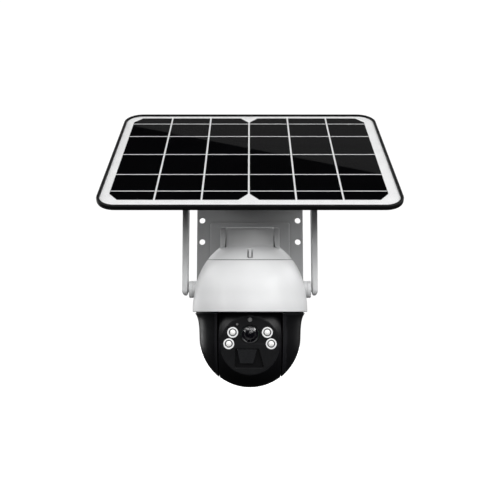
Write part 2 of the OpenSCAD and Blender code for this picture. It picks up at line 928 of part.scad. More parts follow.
module panel_strut() {
  foot_y = -plate_t - foot_t;
  color(grey) difference() {
    union() {
      translate([0, -plate_t, (strut_low + strut_high) / 2]) rotate([90, 0, 0])
        slab(46, strut_high - strut_low, 4, foot_t);
      translate([-knuckle_half, 0, 0]) along_x() linear_extrude(height = 2 * knuckle_half) {
        translate([hinge_y, hinge_z]) circle(r = knuckle_r);
        polygon([[foot_y + 1, strut_low + 2], [foot_y + 1, strut_high - 2],
          [hinge_y + 4, hinge_z + 8], [hinge_y - 2, hinge_z - 8.6]]);
      }
    }
    translate([-30, hinge_y, hinge_z]) along_x() cylinder(r = bolt_shaft + 0.02, h = 60);
    for (x = [-17, 17], z = [strut_low + 5, strut_high - 5])
      translate([x, 0, z]) rotate([90, 0, 0]) cylinder(r = 2.2, h = 20);
  }
}

module strut_screws() {
  color(steel) for (x = [-17, 17], z = [strut_low + 5, strut_high - 5])
    translate([x, -plate_t - foot_t, z]) rotate([90, 0, 0]) screw(2, foot_t, 3.4, 2);
}

module hinge_bolt() {
  color(steel) translate([0, hinge_y, hinge_z]) {
    translate([-knuckle_half - ear_gap - ear_t - 0.6, 0, 0]) along_x() cylinder(r = bolt_shaft, h = 40);
    translate([-knuckle_half - ear_gap - ear_t - 4.6, 0, 0]) along_x() cylinder(r = 7, h = 4, $fn = 6);
  }
}

module clamp_knob() {
  color(black) translate([knuckle_half + ear_gap + ear_t + 0.6, hinge_y, hinge_z]) along_x() difference() {
    union() {
      cylinder(r = 6.4, h = 9);
      linear_extrude(height = 7) for (a = [0, 180]) rotate([0, 0, a]) {
        translate([0, -2]) square([7.6, 4]);
        translate([7.6, 0]) circle(r = 3.2);
      }
    }
    translate([0, 0, -1]) cylinder(r = bolt_shaft + fit, h = 12);
  }
}

// ---------- antennas ----------

// Boss that stands on the hood, with a spigot through the hood's wall and the antenna's pivot pin
module antenna_base(side) {
  color(grey) {
    difference() {
      at_pivot(side) rotate([0, 0, side > 0 ? 0 : 180]) along_x() {
        translate([0, 0, -10]) cylinder(r = 9, h = 8.8);
        translate([0, 0, -1.3]) cylinder(r = pivot_pin_r, h = 6.2);
      }
      at_dome() crown_solid(0.02);
    }
    at_pivot(side) rotate([0, 0, side > 0 ? 0 : 180]) along_x()
      translate([0, 0, -11.4]) cylinder(r = 3, h = 6);
  }
}

module antenna_side_outline() {
  circle(r = antenna_low);
  polygon([[-antenna_low, 0], [antenna_low, 0],
    [antenna_wide, antenna_len - 6], [antenna_wide - 6, antenna_len], [-antenna_wide + 6, antenna_len],
    [-antenna_wide, antenna_len - 6]]);
}

module antenna(side) {
  color(grey) at_pivot(side) rotate([0, 0, side > 0 ? 0 : 180]) difference() {
    intersection() {
      along_x() linear_extrude(height = antenna_t) antenna_side_outline();
      rotate([90, 0, 0]) translate([0, 0, -20]) linear_extrude(height = 40) polygon([
        [0.9, -7], [0, 1], [0, antenna_len - 2], [1.5, antenna_len], [antenna_t - 1.5, antenna_len],
        [antenna_t, antenna_len - 2], [antenna_t, -3], [antenna_t - 1.9, -7]]);
    }
    along_x() translate([0, 0, -1]) cylinder(r = pivot_pin_r + fit, h = 6.2);
  }
}

module antenna_base_left() { antenna_base(-1); }
module antenna_base_right() { antenna_base(1); }
module antenna_left() { antenna(-1); }
module antenna_right() { antenna(1); }

wall_plate();
arm_gasket();
arm_housing();
arm_screws();
hood_shell();
hood_seal();
hood_screw();
hood_base();
base_screws();
pan_bush();
pan_motor();
main_board();
battery_cells();
battery_tray();
antenna_base_left();
antenna_base_right();
charge_socket();
service_board();
panel_strut();
strut_screws();
hinge_bolt();
pan_deck();
pan_gear();
cheek_left();
cheek_right();
cheek_cover_left();
cheek_cover_right();
tilt_bushes();
tilt_motor();
speaker();
ball_front();
ball_rear();
tilt_axles();
tilt_gear();
face_plate();
lens_barrel();
lens_glass();
image_sensor();
led_rings();
led_lamps();
light_sensor();
status_lamp();
pir_lens();
head_board();
panel_frame();
panel_backsheet();
solar_cells();
cell_ribbons();
panel_glass();
panel_bracket();
bracket_screws();
junction_box();
antenna_left();
antenna_right();
pan_pinion();
tilt_pinion();
clamp_knob();
service_cover();
reset_button();
power_button();
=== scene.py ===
"""Looks of the solar-powered security camera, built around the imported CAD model.

Metres, +Z up, the front faces -Y. Builders below take millimetres and place pieces with the frames.
"""
import json
import math

import bmesh
import bpy
from mathutils import Matrix, Vector


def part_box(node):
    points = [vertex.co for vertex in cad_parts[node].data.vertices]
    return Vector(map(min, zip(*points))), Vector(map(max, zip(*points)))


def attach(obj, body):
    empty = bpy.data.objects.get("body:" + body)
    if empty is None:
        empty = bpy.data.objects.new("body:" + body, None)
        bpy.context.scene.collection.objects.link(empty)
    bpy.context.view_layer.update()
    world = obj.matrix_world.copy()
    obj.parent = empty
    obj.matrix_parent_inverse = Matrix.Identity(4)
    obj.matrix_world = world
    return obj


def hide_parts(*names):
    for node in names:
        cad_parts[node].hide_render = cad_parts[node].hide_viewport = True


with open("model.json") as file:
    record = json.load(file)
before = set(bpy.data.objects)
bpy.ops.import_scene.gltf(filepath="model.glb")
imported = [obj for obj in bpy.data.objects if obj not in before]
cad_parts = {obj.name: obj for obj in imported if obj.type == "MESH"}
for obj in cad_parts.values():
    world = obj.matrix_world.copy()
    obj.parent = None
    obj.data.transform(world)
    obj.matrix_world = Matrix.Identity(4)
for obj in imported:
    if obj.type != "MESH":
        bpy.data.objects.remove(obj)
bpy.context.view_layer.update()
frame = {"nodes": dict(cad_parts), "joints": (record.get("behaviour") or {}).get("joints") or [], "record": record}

MM = 0.001
scene = bpy.context.scene
joints = {j["name"]: j for j in frame["joints"]}

# ---------- sizes, as the CAD has them (mm and degrees) ----------

HOOD_R, CROWN_R, CROWN_H, CROWN_Z = 60.0, 59.0, 68.5, 10.0
BAND_H, HOOD_WALL = 12.0, 2.4
SEAM_H, SEAM_SLOPE, SEAM_GAP = 55.1, 4.7, 0.4
SLOT_W, SLOT_LOW, SLOT_HIGH = 5.8, 53.1, 63.0
ARM_HALF, ARM_TOP, ARM_LOW, ARM_BACK, ARM_CORNER = 30.7, 87.2, 50.0, 86.0, 2.5
NOSE_HALF, NOSE_FRONT, NOSE_TOP, SHOULDER, ARM_ENTRY = 24.4, 32.5, 85.0, 19.0, 35.0
BALL_R, BALL_HALF, BALL_DROP, BALL_WALL = 52.4, 31.0, 25.2, 2.4
FACE_D, FACE_R, FACE_T, LOOK_DOWN = 43.5, 28.9, 2.4, 10.0
COLLAR_R, DECK_R = 56.4, 53.0
COVER_IN, COVER_OUT = 32.2, 34.4
PANEL_W, PANEL_L, PANEL_T, PANEL_SLOPE = 293.6, 208.0, 5.0, 41.2
PANEL_AT = (0, -4.6, 19.1)
FRAME_CORNER, LIP, FAR_LIP, POCKET_T = 20.0, 3.0, 3.4, 2.4
CELL_W, CELL_L, CELL_GAP, CELL_CUT = 270.2, 185.0, 1.8, (9.0, 11.0)
CELLS_AT = (-1.1, 2.2)
RIBBONS = (0.086, 0.264, 0.5, 0.736, 0.914)
ANTENNA_LEN, ANTENNA_T = 88.0, 6.0
LENS_UP, LENS_R, LENS_GAP = 11.25, 8.6, 0.6
LEDS = ((-16.9, 13.0), (-20.8, 1.7), (16.9, 13.0), (20.8, 1.7))
LED_R, LED_HOLE_R = 5.3, 3.7
GLASS_R, GLASS_TOP = 7.85, 2.95
SENSOR_UP = 25.6
STATUS_AT = (-12.5, 21.0)
PIR_OUTER = ((-14.9, -3.2), (8.9, -3.2), (14.0, -22.4), (-14.9, -22.4))
PIR_INNER = ((-12.7, -3.7), (7.1, -3.7), (3.0, -18.0), (-9.7, -18.0))
PLATE_T, PLATE_CORNER = 5.0, 6.0
PAD_W, PAD_H, PAD_CORNER, PAD_RISE, PAD_DROP = 95.6, 88.0, 3.0, 8.0, 8.0

# ---------- frames ----------

RIM_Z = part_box("hood_shell")[0].z
BALL = Matrix.Translation(joints["tilt"]["pos_m"])
DOME = Matrix.Translation((0, BALL.translation.y, RIM_Z))
HEAD = BALL @ Matrix.Rotation(math.radians(LOOK_DOWN), 4, "X")
FACE = HEAD @ Matrix.Translation((0, -FACE_D * MM, 0)) @ Matrix.Rotation(math.radians(90), 4, "X")
HINGE = Matrix.Translation(joints["panel_tilt"]["pos_m"])
SLOPED = HINGE @ Matrix.Rotation(math.radians(PANEL_SLOPE), 4, "X")
PANEL = SLOPED @ Matrix.Translation([c * MM for c in PANEL_AT])
PIVOTS = {side: Matrix.Translation(joints[f"{side}_antenna_swing"]["pos_m"]) for side in ("left", "right")}
IDENTITY = Matrix.Identity(4)

# ---------- mesh helpers ----------


def piece(name, bm, place=IDENTITY, sharp=35):
    """Makes an object from a bmesh drawn in millimetres."""
    bmesh.ops.recalc_face_normals(bm, faces=bm.faces)
    bmesh.ops.scale(bm, vec=(MM, MM, MM), verts=bm.verts)
    mesh = bpy.data.meshes.new(name)
    bm.to_mesh(mesh)
    bm.free()
    obj = bpy.data.objects.new(name, mesh)
    scene.collection.objects.link(obj)
    obj.matrix_world = place
    shade(obj, sharp)
    return obj


def shade(obj, sharp=35):
    for poly in obj.data.polygons:
        poly.use_smooth = True
    obj.data.set_sharp_from_angle(angle=math.radians(sharp))


def bridge(bm, rows, wrap=True, ends=True):
    """Faces between rows of points. wrap joins the last row to the first, ends caps both instead."""
    made = [[bm.verts.new(p) for p in row] for row in rows]
    count = len(made[0])
    pairs = list(zip(made, made[1:]))
    if wrap:
        pairs.append((made[-1], made[0]))
    for a, b in pairs:
        for i in range(count):
            j = (i + 1) % count
            corners = [a[i], a[j], b[j], b[i]]
            unique = [v for k, v in enumerate(corners) if v not in corners[:k]]
            if len(unique) > 2:
                bm.faces.new(unique)
    if ends and not wrap:
        bm.faces.new(made[0])
        bm.faces.new(made[-1])


def revolved(profile, steps=144, axis="Z"):
    """A closed section of (radius, height) points turned about an axis."""
    bm = bmesh.new()
    rows = []
    for k in range(steps):
        a = 2 * math.pi * k / steps
        c, s = math.cos(a), math.sin(a)
        if axis == "Z":
            rows.append([(r * c, r * s, z) for r, z in profile])
        else:
            rows.append([(z, r * c, r * s) for r, z in profile])
    bridge(bm, rows)
    bmesh.ops.remove_doubles(bm, verts=bm.verts, dist=1e-4)
    return bm


def arc(cx, cy, r, a0, a1, n=6):
    """Points on a circle from angle a0 to a1, in degrees."""
    return [(cx + r * math.cos(math.radians(a0 + (a1 - a0) * i / n)),
             cy + r * math.sin(math.radians(a0 + (a1 - a0) * i / n))) for i in range(n + 1)]


def round_rect(w, h, r, n=8):
    """Outline of a rectangle with round corners, centred."""
    out = []
    for cx, cy, a in ((1, 1, 0), (-1, 1, 90), (-1, -1, 180), (1, -1, 270)):
        out += arc(cx * (w / 2 - r), cy * (h / 2 - r), r, a, a + 90, n)
    return out


def rounded_corners(points, r, n=5):
    """Outline through corner points, each corner rounded off."""
    out = []
    for i, p in enumerate(points):
        before, after = points[i - 1], points[(i + 1) % len(points)]
        here = Vector(p)
        to_b, to_a = (Vector(before) - here).normalized(), (Vector(after) - here).normalized()
        half = to_b.angle(to_a) / 2
        start, end = here + to_b * r / math.tan(half), here + to_a * r / math.tan(half)
        centre = here + (to_b + to_a).normalized() * r / math.sin(half)
        for k in range(n + 1):
            t = k / n
            q = start.lerp(end, t)
            out.append(tuple(centre + (q - centre).normalized() * r))
    return out


def loft(outline, levels):
    """Stacks one outline at several heights. Each level is (inset, height)."""
    bm = bmesh.new()
    bridge(bm, [[(x, y, z) for x, y in outline(inset)] for inset, z in levels], wrap=False)
    return bm


def soft_levels(low, high, r, n=4):
    """Levels of a slab whose top and bottom edges are rounded by r."""
    levels = [(r - r * math.sin(math.radians(a)), low + r - r * math.cos(math.radians(a)))
              for a in [90 * i / n for i in range(n + 1)]]
    levels += [(r - r * math.sin(math.radians(a)), high - r + r * math.cos(math.radians(a)))
               for a in [90 - 90 * i / n for i in range(n + 1)]]
    return levels


def moved_in(points, d):
    """An outline moved in by d along its corners' bisectors. It runs anticlockwise."""
    out = []
    for i, p in enumerate(points):
        here = Vector(p)
        a = (here - Vector(points[i - 1])).normalized()
        b = (Vector(points[(i + 1) % len(points)]) - here).normalized()
        normal = Vector((-(a.y + b.y), a.x + b.x))
        normal = normal.normalized() if normal.length > 1e-6 else Vector((-a.y, a.x))
        out.append(tuple(here + normal * d / max(normal.dot(Vector((-a.y, a.x))), 0.3)))
    return out


def slab(name, points, low, high, r, place, sharp=35):
    """A flat plate with soft edges, from an anticlockwise outline."""
    return piece(name, loft(lambda inset: moved_in(points, inset), soft_levels(low, high, r)), place, sharp)


def pierced(name, outlines, low, high, r, place, sharp=35):
    """A flat plate with soft edges and holes: the first outline is the rim, the others are holes."""
    curve = bpy.data.curves.new(name, "CURVE")
    curve.dimensions = "2D"
    curve.fill_mode = "BOTH"
    curve.extrude = ((high - low) / 2 - r) * MM
    curve.bevel_depth = r * MM
    curve.bevel_resolution = 2
    curve.offset = -r * MM
    for outline in outlines:
        spline = curve.splines.new("POLY")
        spline.points.add(len(outline) - 1)
        for point, (x, y) in zip(spline.points, outline):
            point.co = (x * MM, y * MM, 0, 1)
        spline.use_cyclic_u = True
    maker = bpy.data.objects.new(name, curve)
    scene.collection.objects.link(maker)
    mesh = bpy.data.meshes.new_from_object(maker.evaluated_get(bpy.context.evaluated_depsgraph_get()))
    bpy.data.objects.remove(maker)
    bm = bmesh.new()
    bm.from_mesh(mesh)
    bpy.data.meshes.remove(mesh)
    bmesh.ops.remove_doubles(bm, verts=bm.verts, dist=1e-6)
    bmesh.ops.scale(bm, vec=(1 / MM, 1 / MM, 1 / MM), verts=bm.verts)
    bmesh.ops.translate(bm, vec=(0, 0, (high + low) / 2), verts=bm.verts)
    return piece(name, bm, place, sharp)


def box_piece(name, low, high, place=IDENTITY):
    """A plain block between two corners, for cutting with."""
    bm = bmesh.new()
    bmesh.ops.create_cube(bm, size=1)
    for v in bm.verts:
        v.co = Vector([lo + (c + 0.5) * (hi - lo) for c, lo, hi in zip(v.co, low, high)])
    return piece(name, bm, place)


def circle(r, cx=0.0, cy=0.0, n=48):
    turns = [2 * math.pi * i / n for i in range(n)]
    return [(cx + r * math.cos(a), cy + r * math.sin(a)) for a in turns]


def apply_modifiers(obj):
    mesh = bpy.data.meshes.new_from_object(obj.evaluated_get(bpy.context.evaluated_depsgraph_get()))
    obj.modifiers.clear()
    old, obj.data = obj.data, mesh
    bpy.data.meshes.remove(old)


def combine(obj, tool, operation="DIFFERENCE"):
    """A boolean with another object, which is used up."""
    bpy.context.view_layer.update()
    mod = obj.modifiers.new("cut", "BOOLEAN")
    mod.operation = operation
    mod.solver = "EXACT"
    mod.object = tool
    apply_modifiers(obj)
    bpy.data.objects.remove(tool)


def soften(obj, width, segments=3, angle=32, sharp=40):
    """Rounds an object's sharp edges by a width in millimetres."""
    mod = obj.modifiers.new("soften", "BEVEL")
    mod.width = width * MM
    mod.segments = segments
    mod.limit_method = "ANGLE"
    mod.angle_limit = math.radians(angle)
    mod.use_clamp_overlap = True
    mod.miter_outer = "MITER_ARC"
    apply_modifiers(obj)
    shade(obj, sharp)


def joined(objects):
    """One mesh in millimetres from several objects, which are used up."""
    bm = bmesh.new()
    for obj in objects:
        part = obj.data.copy()
        part.transform(obj.matrix_world)
        bm.from_mesh(part)
        bpy.data.meshes.remove(part)
        bpy.data.objects.remove(obj)
    bmesh.ops.scale(bm, vec=(1 / MM, 1 / MM, 1 / MM), verts=bm.verts)
    return bm


# ---------- materials ----------


def socket_set(shader, **values):
    """Sets values that are the same all over a surface, straight on the shader's sockets."""
    for name, value in values.items():
        shader.inputs[name.replace("_", " ")].default_value = value


class Surface:
    """A Principled material with helpers for the procedural detail that feeds it."""

    def __init__(self, name):
        self.material = bpy.data.materials.new(name)
        self.material.use_nodes = True
        self.tree = self.material.node_tree
        self.shader = self.tree.nodes["Principled BSDF"]
        self.where = self.tree.nodes.new("ShaderNodeTexCoord").outputs["Object"]

    def node(self, kind, **values):
        made = self.tree.nodes.new(kind)
        for key, value in values.items():
            setattr(made, key, value)
        return made

    def link(self, source, target):
        self.tree.links.new(source, target)

    def noise(self, size_mm, detail=4.0, stretch=(1, 1, 1)):
        mapping = self.node("ShaderNodeMapping")
        mapping.inputs["Scale"].default_value = stretch
        self.link(self.where, mapping.inputs["Vector"])
        made = self.node("ShaderNodeTexNoise")
        made.inputs["Scale"].default_value = 1 / (size_mm * MM)
        made.inputs["Detail"].default_value = detail
        self.link(mapping.outputs["Vector"], made.inputs["Vector"])
        return made.outputs["Fac"]

    def spread(self, value, low, high, first=0.3, last=0.7):
        made = self.node("ShaderNodeMapRange")
        for key, number in (("From Min", first), ("From Max", last), ("To Min", low), ("To Max", high)):
            made.inputs[key].default_value = number
        self.link(value, made.inputs["Value"])
        return made.outputs["Result"]

    def math(self, operation, a, b):
        made = self.node("ShaderNodeMath", operation=operation)
        for index, value in enumerate((a, b)):
            if isinstance(value, (int, float)):
                made.inputs[index].default_value = value
            else:
                self.link(value, made.inputs[index])
        return made.outputs["Value"]

    def mixed(self, amount, a, b):
        made = self.node("ShaderNodeMix", data_type="RGBA")
        self.link(amount, made.inputs["Factor"])
        for index, value in (("A", a), ("B", b)):
            target = [s for s in made.inputs if s.name == index and s.type == "RGBA"][0]
            if isinstance(value, tuple):
                target.default_value = (*value, 1)
            else:
                self.link(value, target)
        return [s for s in made.outputs if s.type == "RGBA"][0]

    def bump(self, height, depth_mm, strength=1.0):
        made = self.node("ShaderNodeBump")
        made.inputs["Strength"].default_value = strength
        made.inputs["Distance"].default_value = depth_mm * MM
        self.link(height, made.inputs["Height"])
        self.link(made.outputs["Normal"], self.shader.inputs["Normal"])

    def colour(self, source):
        self.link(source, self.shader.inputs["Base Color"])

    def rough(self, source):
        self.link(source, self.shader.inputs["Roughness"])


def shaded(colour, factor):
    return tuple(min(1.0, c * factor) for c in colour)


def crevice_dust_and_painted_shade(surface, tone, dark, reach_mm):
    """Darkens a colour where the surface is tucked in, from ambient occlusion: dust and painted shade."""
    occlusion = surface.node("ShaderNodeAmbientOcclusion")
    occlusion.inputs["Distance"].default_value = reach_mm * MM
    return surface.mixed(surface.spread(occlusion.outputs["AO"], 1.0, 0.0, 0.35, 0.95), tone, dark)


def moulded(name, colour, roughness, grain_mm=0.45, depth_mm=0.006, specular=0.5, coat=0.0, edge_wear_and_painted_highlight=1.06):
    """Moulded plastic: spark-eroded grain, faint clouding, uneven gloss, edges lightened by wear and painted
    highlight, corners darkened by dust and painted shade.
    """
    s = Surface(name)
    cloud = s.mixed(s.spread(s.noise(26, 3), 0, 1), shaded(colour, 0.97), shaded(colour, 1.02))
    # Sharp edges are lightened: edge wear and a painted highlight along them.
    edge = s.spread(s.node("ShaderNodeNewGeometry").outputs["Pointiness"], 0, 1, 0.515, 0.56)
    worn_and_highlit = s.mixed(edge, cloud, shaded(colour, edge_wear_and_painted_highlight))
    # Tucked-in places are darkened: dust and painted shade.
    s.colour(crevice_dust_and_painted_shade(s, worn_and_highlit, shaded(colour, 0.82), 5))
    s.rough(s.spread(s.noise(7, 5), roughness - 0.05, roughness + 0.06))
    s.bump(s.noise(grain_mm, 2), depth_mm, 0.6)
    socket_set(s.shader, Specular_IOR_Level=specular, Coat_Weight=coat, Coat_Roughness=0.12)
    return s.material


def powder_coat(name, colour, roughness=0.5):
    """Powder-coated metal: orange peel, fine speckle, rubbed edges, corners darkened by dust and painted shade."""
    s = Surface(name)
    speckle = s.mixed(s.spread(s.noise(0.5, 2), 0, 1), shaded(colour, 0.9), shaded(colour, 1.08))
    edge = s.spread(s.node("ShaderNodeNewGeometry").outputs["Pointiness"], 0, 1, 0.52, 0.58)
    rubbed = s.mixed(s.math("MULTIPLY", edge, s.spread(s.noise(4, 5), 0, 1)), speckle, shaded(colour, 1.3))
    # Tucked-in places are darkened: dust and painted shade.
    s.colour(crevice_dust_and_painted_shade(s, rubbed, shaded(colour, 0.72), 7))
    s.rough(s.spread(s.noise(1.2, 3), roughness - 0.08, roughness + 0.08))
    s.bump(s.noise(0.9, 2), 0.02, 0.8)
    return s.material


def metal(name, colour, roughness, stretch=(1, 1, 18)):
    """Plated steel with fine turning marks and faint stains."""
    s = Surface(name)
    s.colour(s.mixed(s.spread(s.noise(3, 6), 0, 1), shaded(colour, 0.8), shaded(colour, 1.05)))
    s.rough(s.spread(s.noise(0.3, 3, stretch), roughness - 0.1, roughness + 0.12))
    s.bump(s.noise(0.25, 2, stretch), 0.004, 0.5)
    socket_set(s.shader, Metallic=1.0)
    return s.material


def rubber(name, colour):
    s = Surface(name)
    s.colour(s.mixed(s.spread(s.noise(2, 6), 0, 1), shaded(colour, 0.8), shaded(colour, 1.25)))
    s.rough(s.spread(s.noise(1, 4), 0.62, 0.82))
    s.bump(s.noise(0.3, 3), 0.012, 0.7)
    return s.material


def circuit(name):
    """Green solder mask over tracks that run along the board."""
    s = Surface(name)
    tracks = s.spread(s.noise(1.3, 0, (1, 6, 1)), 0, 1, 0.5, 0.54)
    s.colour(s.mixed(tracks, (0.012, 0.085, 0.04), (0.03, 0.2, 0.09)))
    s.rough(s.spread(s.noise(2, 3), 0.3, 0.42))
    s.bump(tracks, 0.02, 0.5)
    return s.material


def glazed(name, colour, roughness):
    """Something flat that lies under the panel's glass."""
    s = Surface(name)
    s.colour(s.mixed(s.spread(s.noise(12, 4), 0, 1), shaded(colour, 0.95), shaded(colour, 1.03)))
    s.rough(s.spread(s.noise(3, 3), roughness - 0.04, roughness + 0.05))
    s.bump(s.noise(1.5, 3), 0.004, 0.4)
    socket_set(s.shader, Coat_Weight=1.0, Coat_Roughness=0.02, Coat_IOR=1.5)
    return s.material


def silicon(name):
    """Monocrystalline cell: blue-black, with fine silver fingers across it and a faint crystal cloud."""
    s = Surface(name)
    split = s.node("ShaderNodeSeparateXYZ")
    s.link(s.where, split.inputs["Vector"])
    phase = s.math("MULTIPLY", split.outputs["X"], 2 * math.pi / (1.9 * MM))
    finger = s.spread(s.math("SINE", phase, 0.0), 0, 1, 0.955, 0.995)
    body = s.mixed(s.spread(s.noise(30, 4), 0, 1), (0.0004, 0.0004, 0.0005), (0.0008, 0.0008, 0.001))
    s.colour(s.mixed(finger, body, (0.01, 0.01, 0.011)))
    s.rough(s.spread(s.noise(4, 4), 0.3, 0.42))
    s.bump(finger, 0.01, 0.4)
    socket_set(s.shader, Specular_IOR_Level=0.0, Coat_Weight=1.0, Coat_Roughness=0.01, Coat_IOR=1.5)
    return s.material


def clear(name, colour, alpha):
    """Thin clear glass that lets light straight through, with faint smears."""
    s = Surface(name)
    s.colour(s.mixed(s.spread(s.noise(20, 4), 0, 1), shaded(colour, 0.96), colour))
    s.rough(s.spread(s.noise(9, 5), 0.02, 0.05))
    s.bump(s.noise(14, 2), 0.003, 0.2)
    socket_set(s.shader, Alpha=alpha, IOR=1.5, Specular_IOR_Level=0.5)
    return s.material


def lens_coating(name, colour, alpha):
    """Coated optical glass: dark, clear towards the middle, with a painted violet sheen towards its edge."""
    s = Surface(name)
    facing = s.node("ShaderNodeLayerWeight")
    facing.inputs["Blend"].default_value = 0.3
    # The base colour turns violet towards grazing angles: a painted sheen.
    painted_edge_sheen = s.mixed(facing.outputs["Facing"], colour, (0.012, 0.008, 0.022))
    s.colour(s.mixed(s.spread(s.noise(3, 4), 0, 0.4), painted_edge_sheen, shaded(colour, 0.6)))
    s.rough(s.spread(s.noise(2, 4), 0.03, 0.06))
    s.bump(s.noise(4, 2), 0.001, 0.2)
    socket_set(s.shader, Alpha=alpha, IOR=1.6, Specular_IOR_Level=1.0, Coat_Weight=1.0, Coat_Roughness=0.02,
               Coat_IOR=1.35)
    return s.material


def white_with_painted_glow(name, colour, strength, roughness=0.3):
    """White reflector or lamp dome, brightened by a painted glow."""
    s = Surface(name)
    s.colour(s.mixed(s.spread(s.noise(1.2, 4), 0, 1), shaded(colour, 0.94), colour))
    s.rough(s.spread(s.noise(1, 3), roughness - 0.08, roughness + 0.08))
    s.bump(s.noise(0.5, 2), 0.004, 0.4)
    # The emission is a painted glow that brightens the white.
    socket_set(s.shader, Emission_Color=(*colour, 1), Emission_Strength=strength, Coat_Weight=0.6)
    return s.material


MATERIALS = {
    "bracket_grey": powder_coat("bracket_grey", (0.5, 0.505, 0.51)),
    "housing_grey": moulded("housing_grey", (0.7, 0.705, 0.71), 0.45),
    "hood_white": moulded("hood_white", (0.8, 0.805, 0.81), 0.42, coat=0.1),
    "seal_rubber": rubber("seal_rubber", (0.03, 0.03, 0.032)),
    "steel": metal("steel", (0.55, 0.56, 0.58), 0.32),
    "inner_plastic": moulded("inner_plastic", (0.028, 0.028, 0.03), 0.45, edge_wear_and_painted_highlight=1.6),
    "gear_plastic": moulded("gear_plastic", (0.74, 0.71, 0.62), 0.42),
    "motor_can": metal("motor_can", (0.6, 0.6, 0.61), 0.28),
    "circuit_board": circuit("circuit_board"),
    "cell_wrap": moulded("cell_wrap", (0.05, 0.2, 0.42), 0.25, grain_mm=3, depth_mm=0.02, coat=0.5),
    "black_plastic": moulded("black_plastic", (0.006, 0.006, 0.0068), 0.36, depth_mm=0.004, specular=0.22,
                             edge_wear_and_painted_highlight=2.4),
    "face_black": moulded("face_black", (0.0085, 0.0087, 0.0096), 0.4, depth_mm=0.003, specular=0.25,
                          edge_wear_and_painted_highlight=2.4),
    "lens_black": moulded("lens_black", (0.008, 0.008, 0.009), 0.28, grain_mm=0.3, coat=0.6, edge_wear_and_painted_highlight=3.0),
    "lens_glass": lens_coating("lens_glass", (0.004, 0.004, 0.007), 0.42),
    "led_white": white_with_painted_glow("led_white", (0.82, 0.825, 0.83), 0.3),
    "led_lens": white_with_painted_glow("led_lens", (0.85, 0.85, 0.84), 0.35, 0.2),
    "sensor_grey": moulded("sensor_grey", (0.22, 0.22, 0.22), 0.3, coat=0.4),
    "pir_film": moulded("pir_film", (0.016, 0.0165, 0.018), 0.22, grain_mm=1.1, depth_mm=0.01, coat=0.5),
    "panel_black": moulded("panel_black", (0.004, 0.004, 0.0042), 0.42, specular=0.16, edge_wear_and_painted_highlight=2.4),
    "backsheet_white": glazed("backsheet_white", (0.93, 0.933, 0.935), 0.5),
    "silicon": silicon("silicon"),
    "ribbon": glazed("ribbon", (0.86, 0.865, 0.87), 0.4),
    "panel_glass": clear("panel_glass", (0.01, 0.01, 0.012), 0.03),
    "button_red": moulded("button_red", (0.5, 0.02, 0.015), 0.3, coat=0.4),
}
NODE_SLOT = {s["node"]: s["material_slot"] for s in frame["record"]["subparts"]}
NODE_BODY = {n: body for body, nodes in frame["record"]["behaviour"]["bodies"].items() for n in nodes}


def dress(obj, slot):
    """Gives a piece its material, and shading that keeps large flat faces flat."""
    even = obj.modifiers.new("even", "WEIGHTED_NORMAL")
    even.keep_sharp = True
    even.weight = 90
    obj.data.materials.clear()
    obj.data.materials.append(MATERIALS[slot])


def stands_for(obj, *nodes, slot=None):
    """Gives a finished piece its material and body, and hides the CAD nodes that it stands for."""
    dress(obj, slot or NODE_SLOT[nodes[0]])
    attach(obj, NODE_BODY[nodes[0]])
    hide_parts(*nodes)
    return obj


def joins_in(obj, node, slot=None):
    """Adds a detail to the body that a CAD node belongs to."""
    dress(obj, slot or NODE_SLOT[node])
    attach(obj, NODE_BODY[node])
    return obj


# ---------- hood ----------


def crown_point(t, shrink=0.0):
    return (CROWN_R - shrink) * math.cos(t), CROWN_Z + (CROWN_H - shrink) * math.sin(t)


def seam_angle(azimuth, shrink, offset):
    """Where the crown's curve meets the sloping seam, moved up or down by offset."""
    rise = CROWN_H - shrink
    run = (CROWN_R - shrink) * math.sin(azimuth) * math.tan(math.radians(SEAM_SLOPE))
    level = SEAM_H + offset - CROWN_Z
    return math.asin(level / math.hypot(rise, run)) + math.atan2(run, rise)


def hood_row(azimuth):
    """One closed section of the hood shell, from the rim up the outside and down the inside."""
    top = seam_angle(azimuth, 0, -SEAM_GAP / 2)
    inner_top = seam_angle(azimuth, HOOD_WALL, -SEAM_GAP / 2)
    low = math.asin((BAND_H + 8 - CROWN_Z) / CROWN_H)
    inner_r = HOOD_R - HOOD_WALL
    section = arc(HOOD_R - 0.9, 0.9, 0.9, -90, 0, 5)
    section += [(HOOD_R, 3), (HOOD_R - 0.04, 5.5), (HOOD_R - 0.18, 8), (HOOD_R - 0.42, 10.5)]
    section += [(HOOD_R - 0.74, 13), (HOOD_R - 1.08, 15.5), (HOOD_R - 1.38, 17.8)]
    count = 36
    section += [crown_point(low + (top - 0.006 - low) * i / count) for i in range(count + 1)]
    section.append(crown_point(top, 0.35))
    section.append(crown_point(inner_top, HOOD_WALL - 0.3))
    section += [crown_point(inner_top * (1 - i / 12), HOOD_WALL) for i in range(1, 12)]
    section += [(inner_r, CROWN_Z - 1), (inner_r, 1.2), (inner_r + 0.4, 0.3), (inner_r + 0.8, 0)]
    c, s = math.cos(azimuth), math.sin(azimuth)
    return [(r * c, r * s, z) for r, z in section]


def build_hood():
    """The white shell below the seam, open at the back where the arm goes in."""
    bm = bmesh.new()
    steps = 192
    bridge(bm, [hood_row(2 * math.pi * k / steps) for k in range(steps)])
    hood = piece("hood_shell_body", bm, DOME, 30)
    entry = box_piece("entry", (-ARM_HALF - 0.4, ARM_ENTRY, ARM_LOW - 0.6),
                      (ARM_HALF + 0.4, HOOD_R + 20, ARM_TOP + 20), DOME)
    combine(hood, entry)
    shade(hood, 30)
    stands_for(hood, "hood_shell")


# ---------- arm housing with the top cap ----------


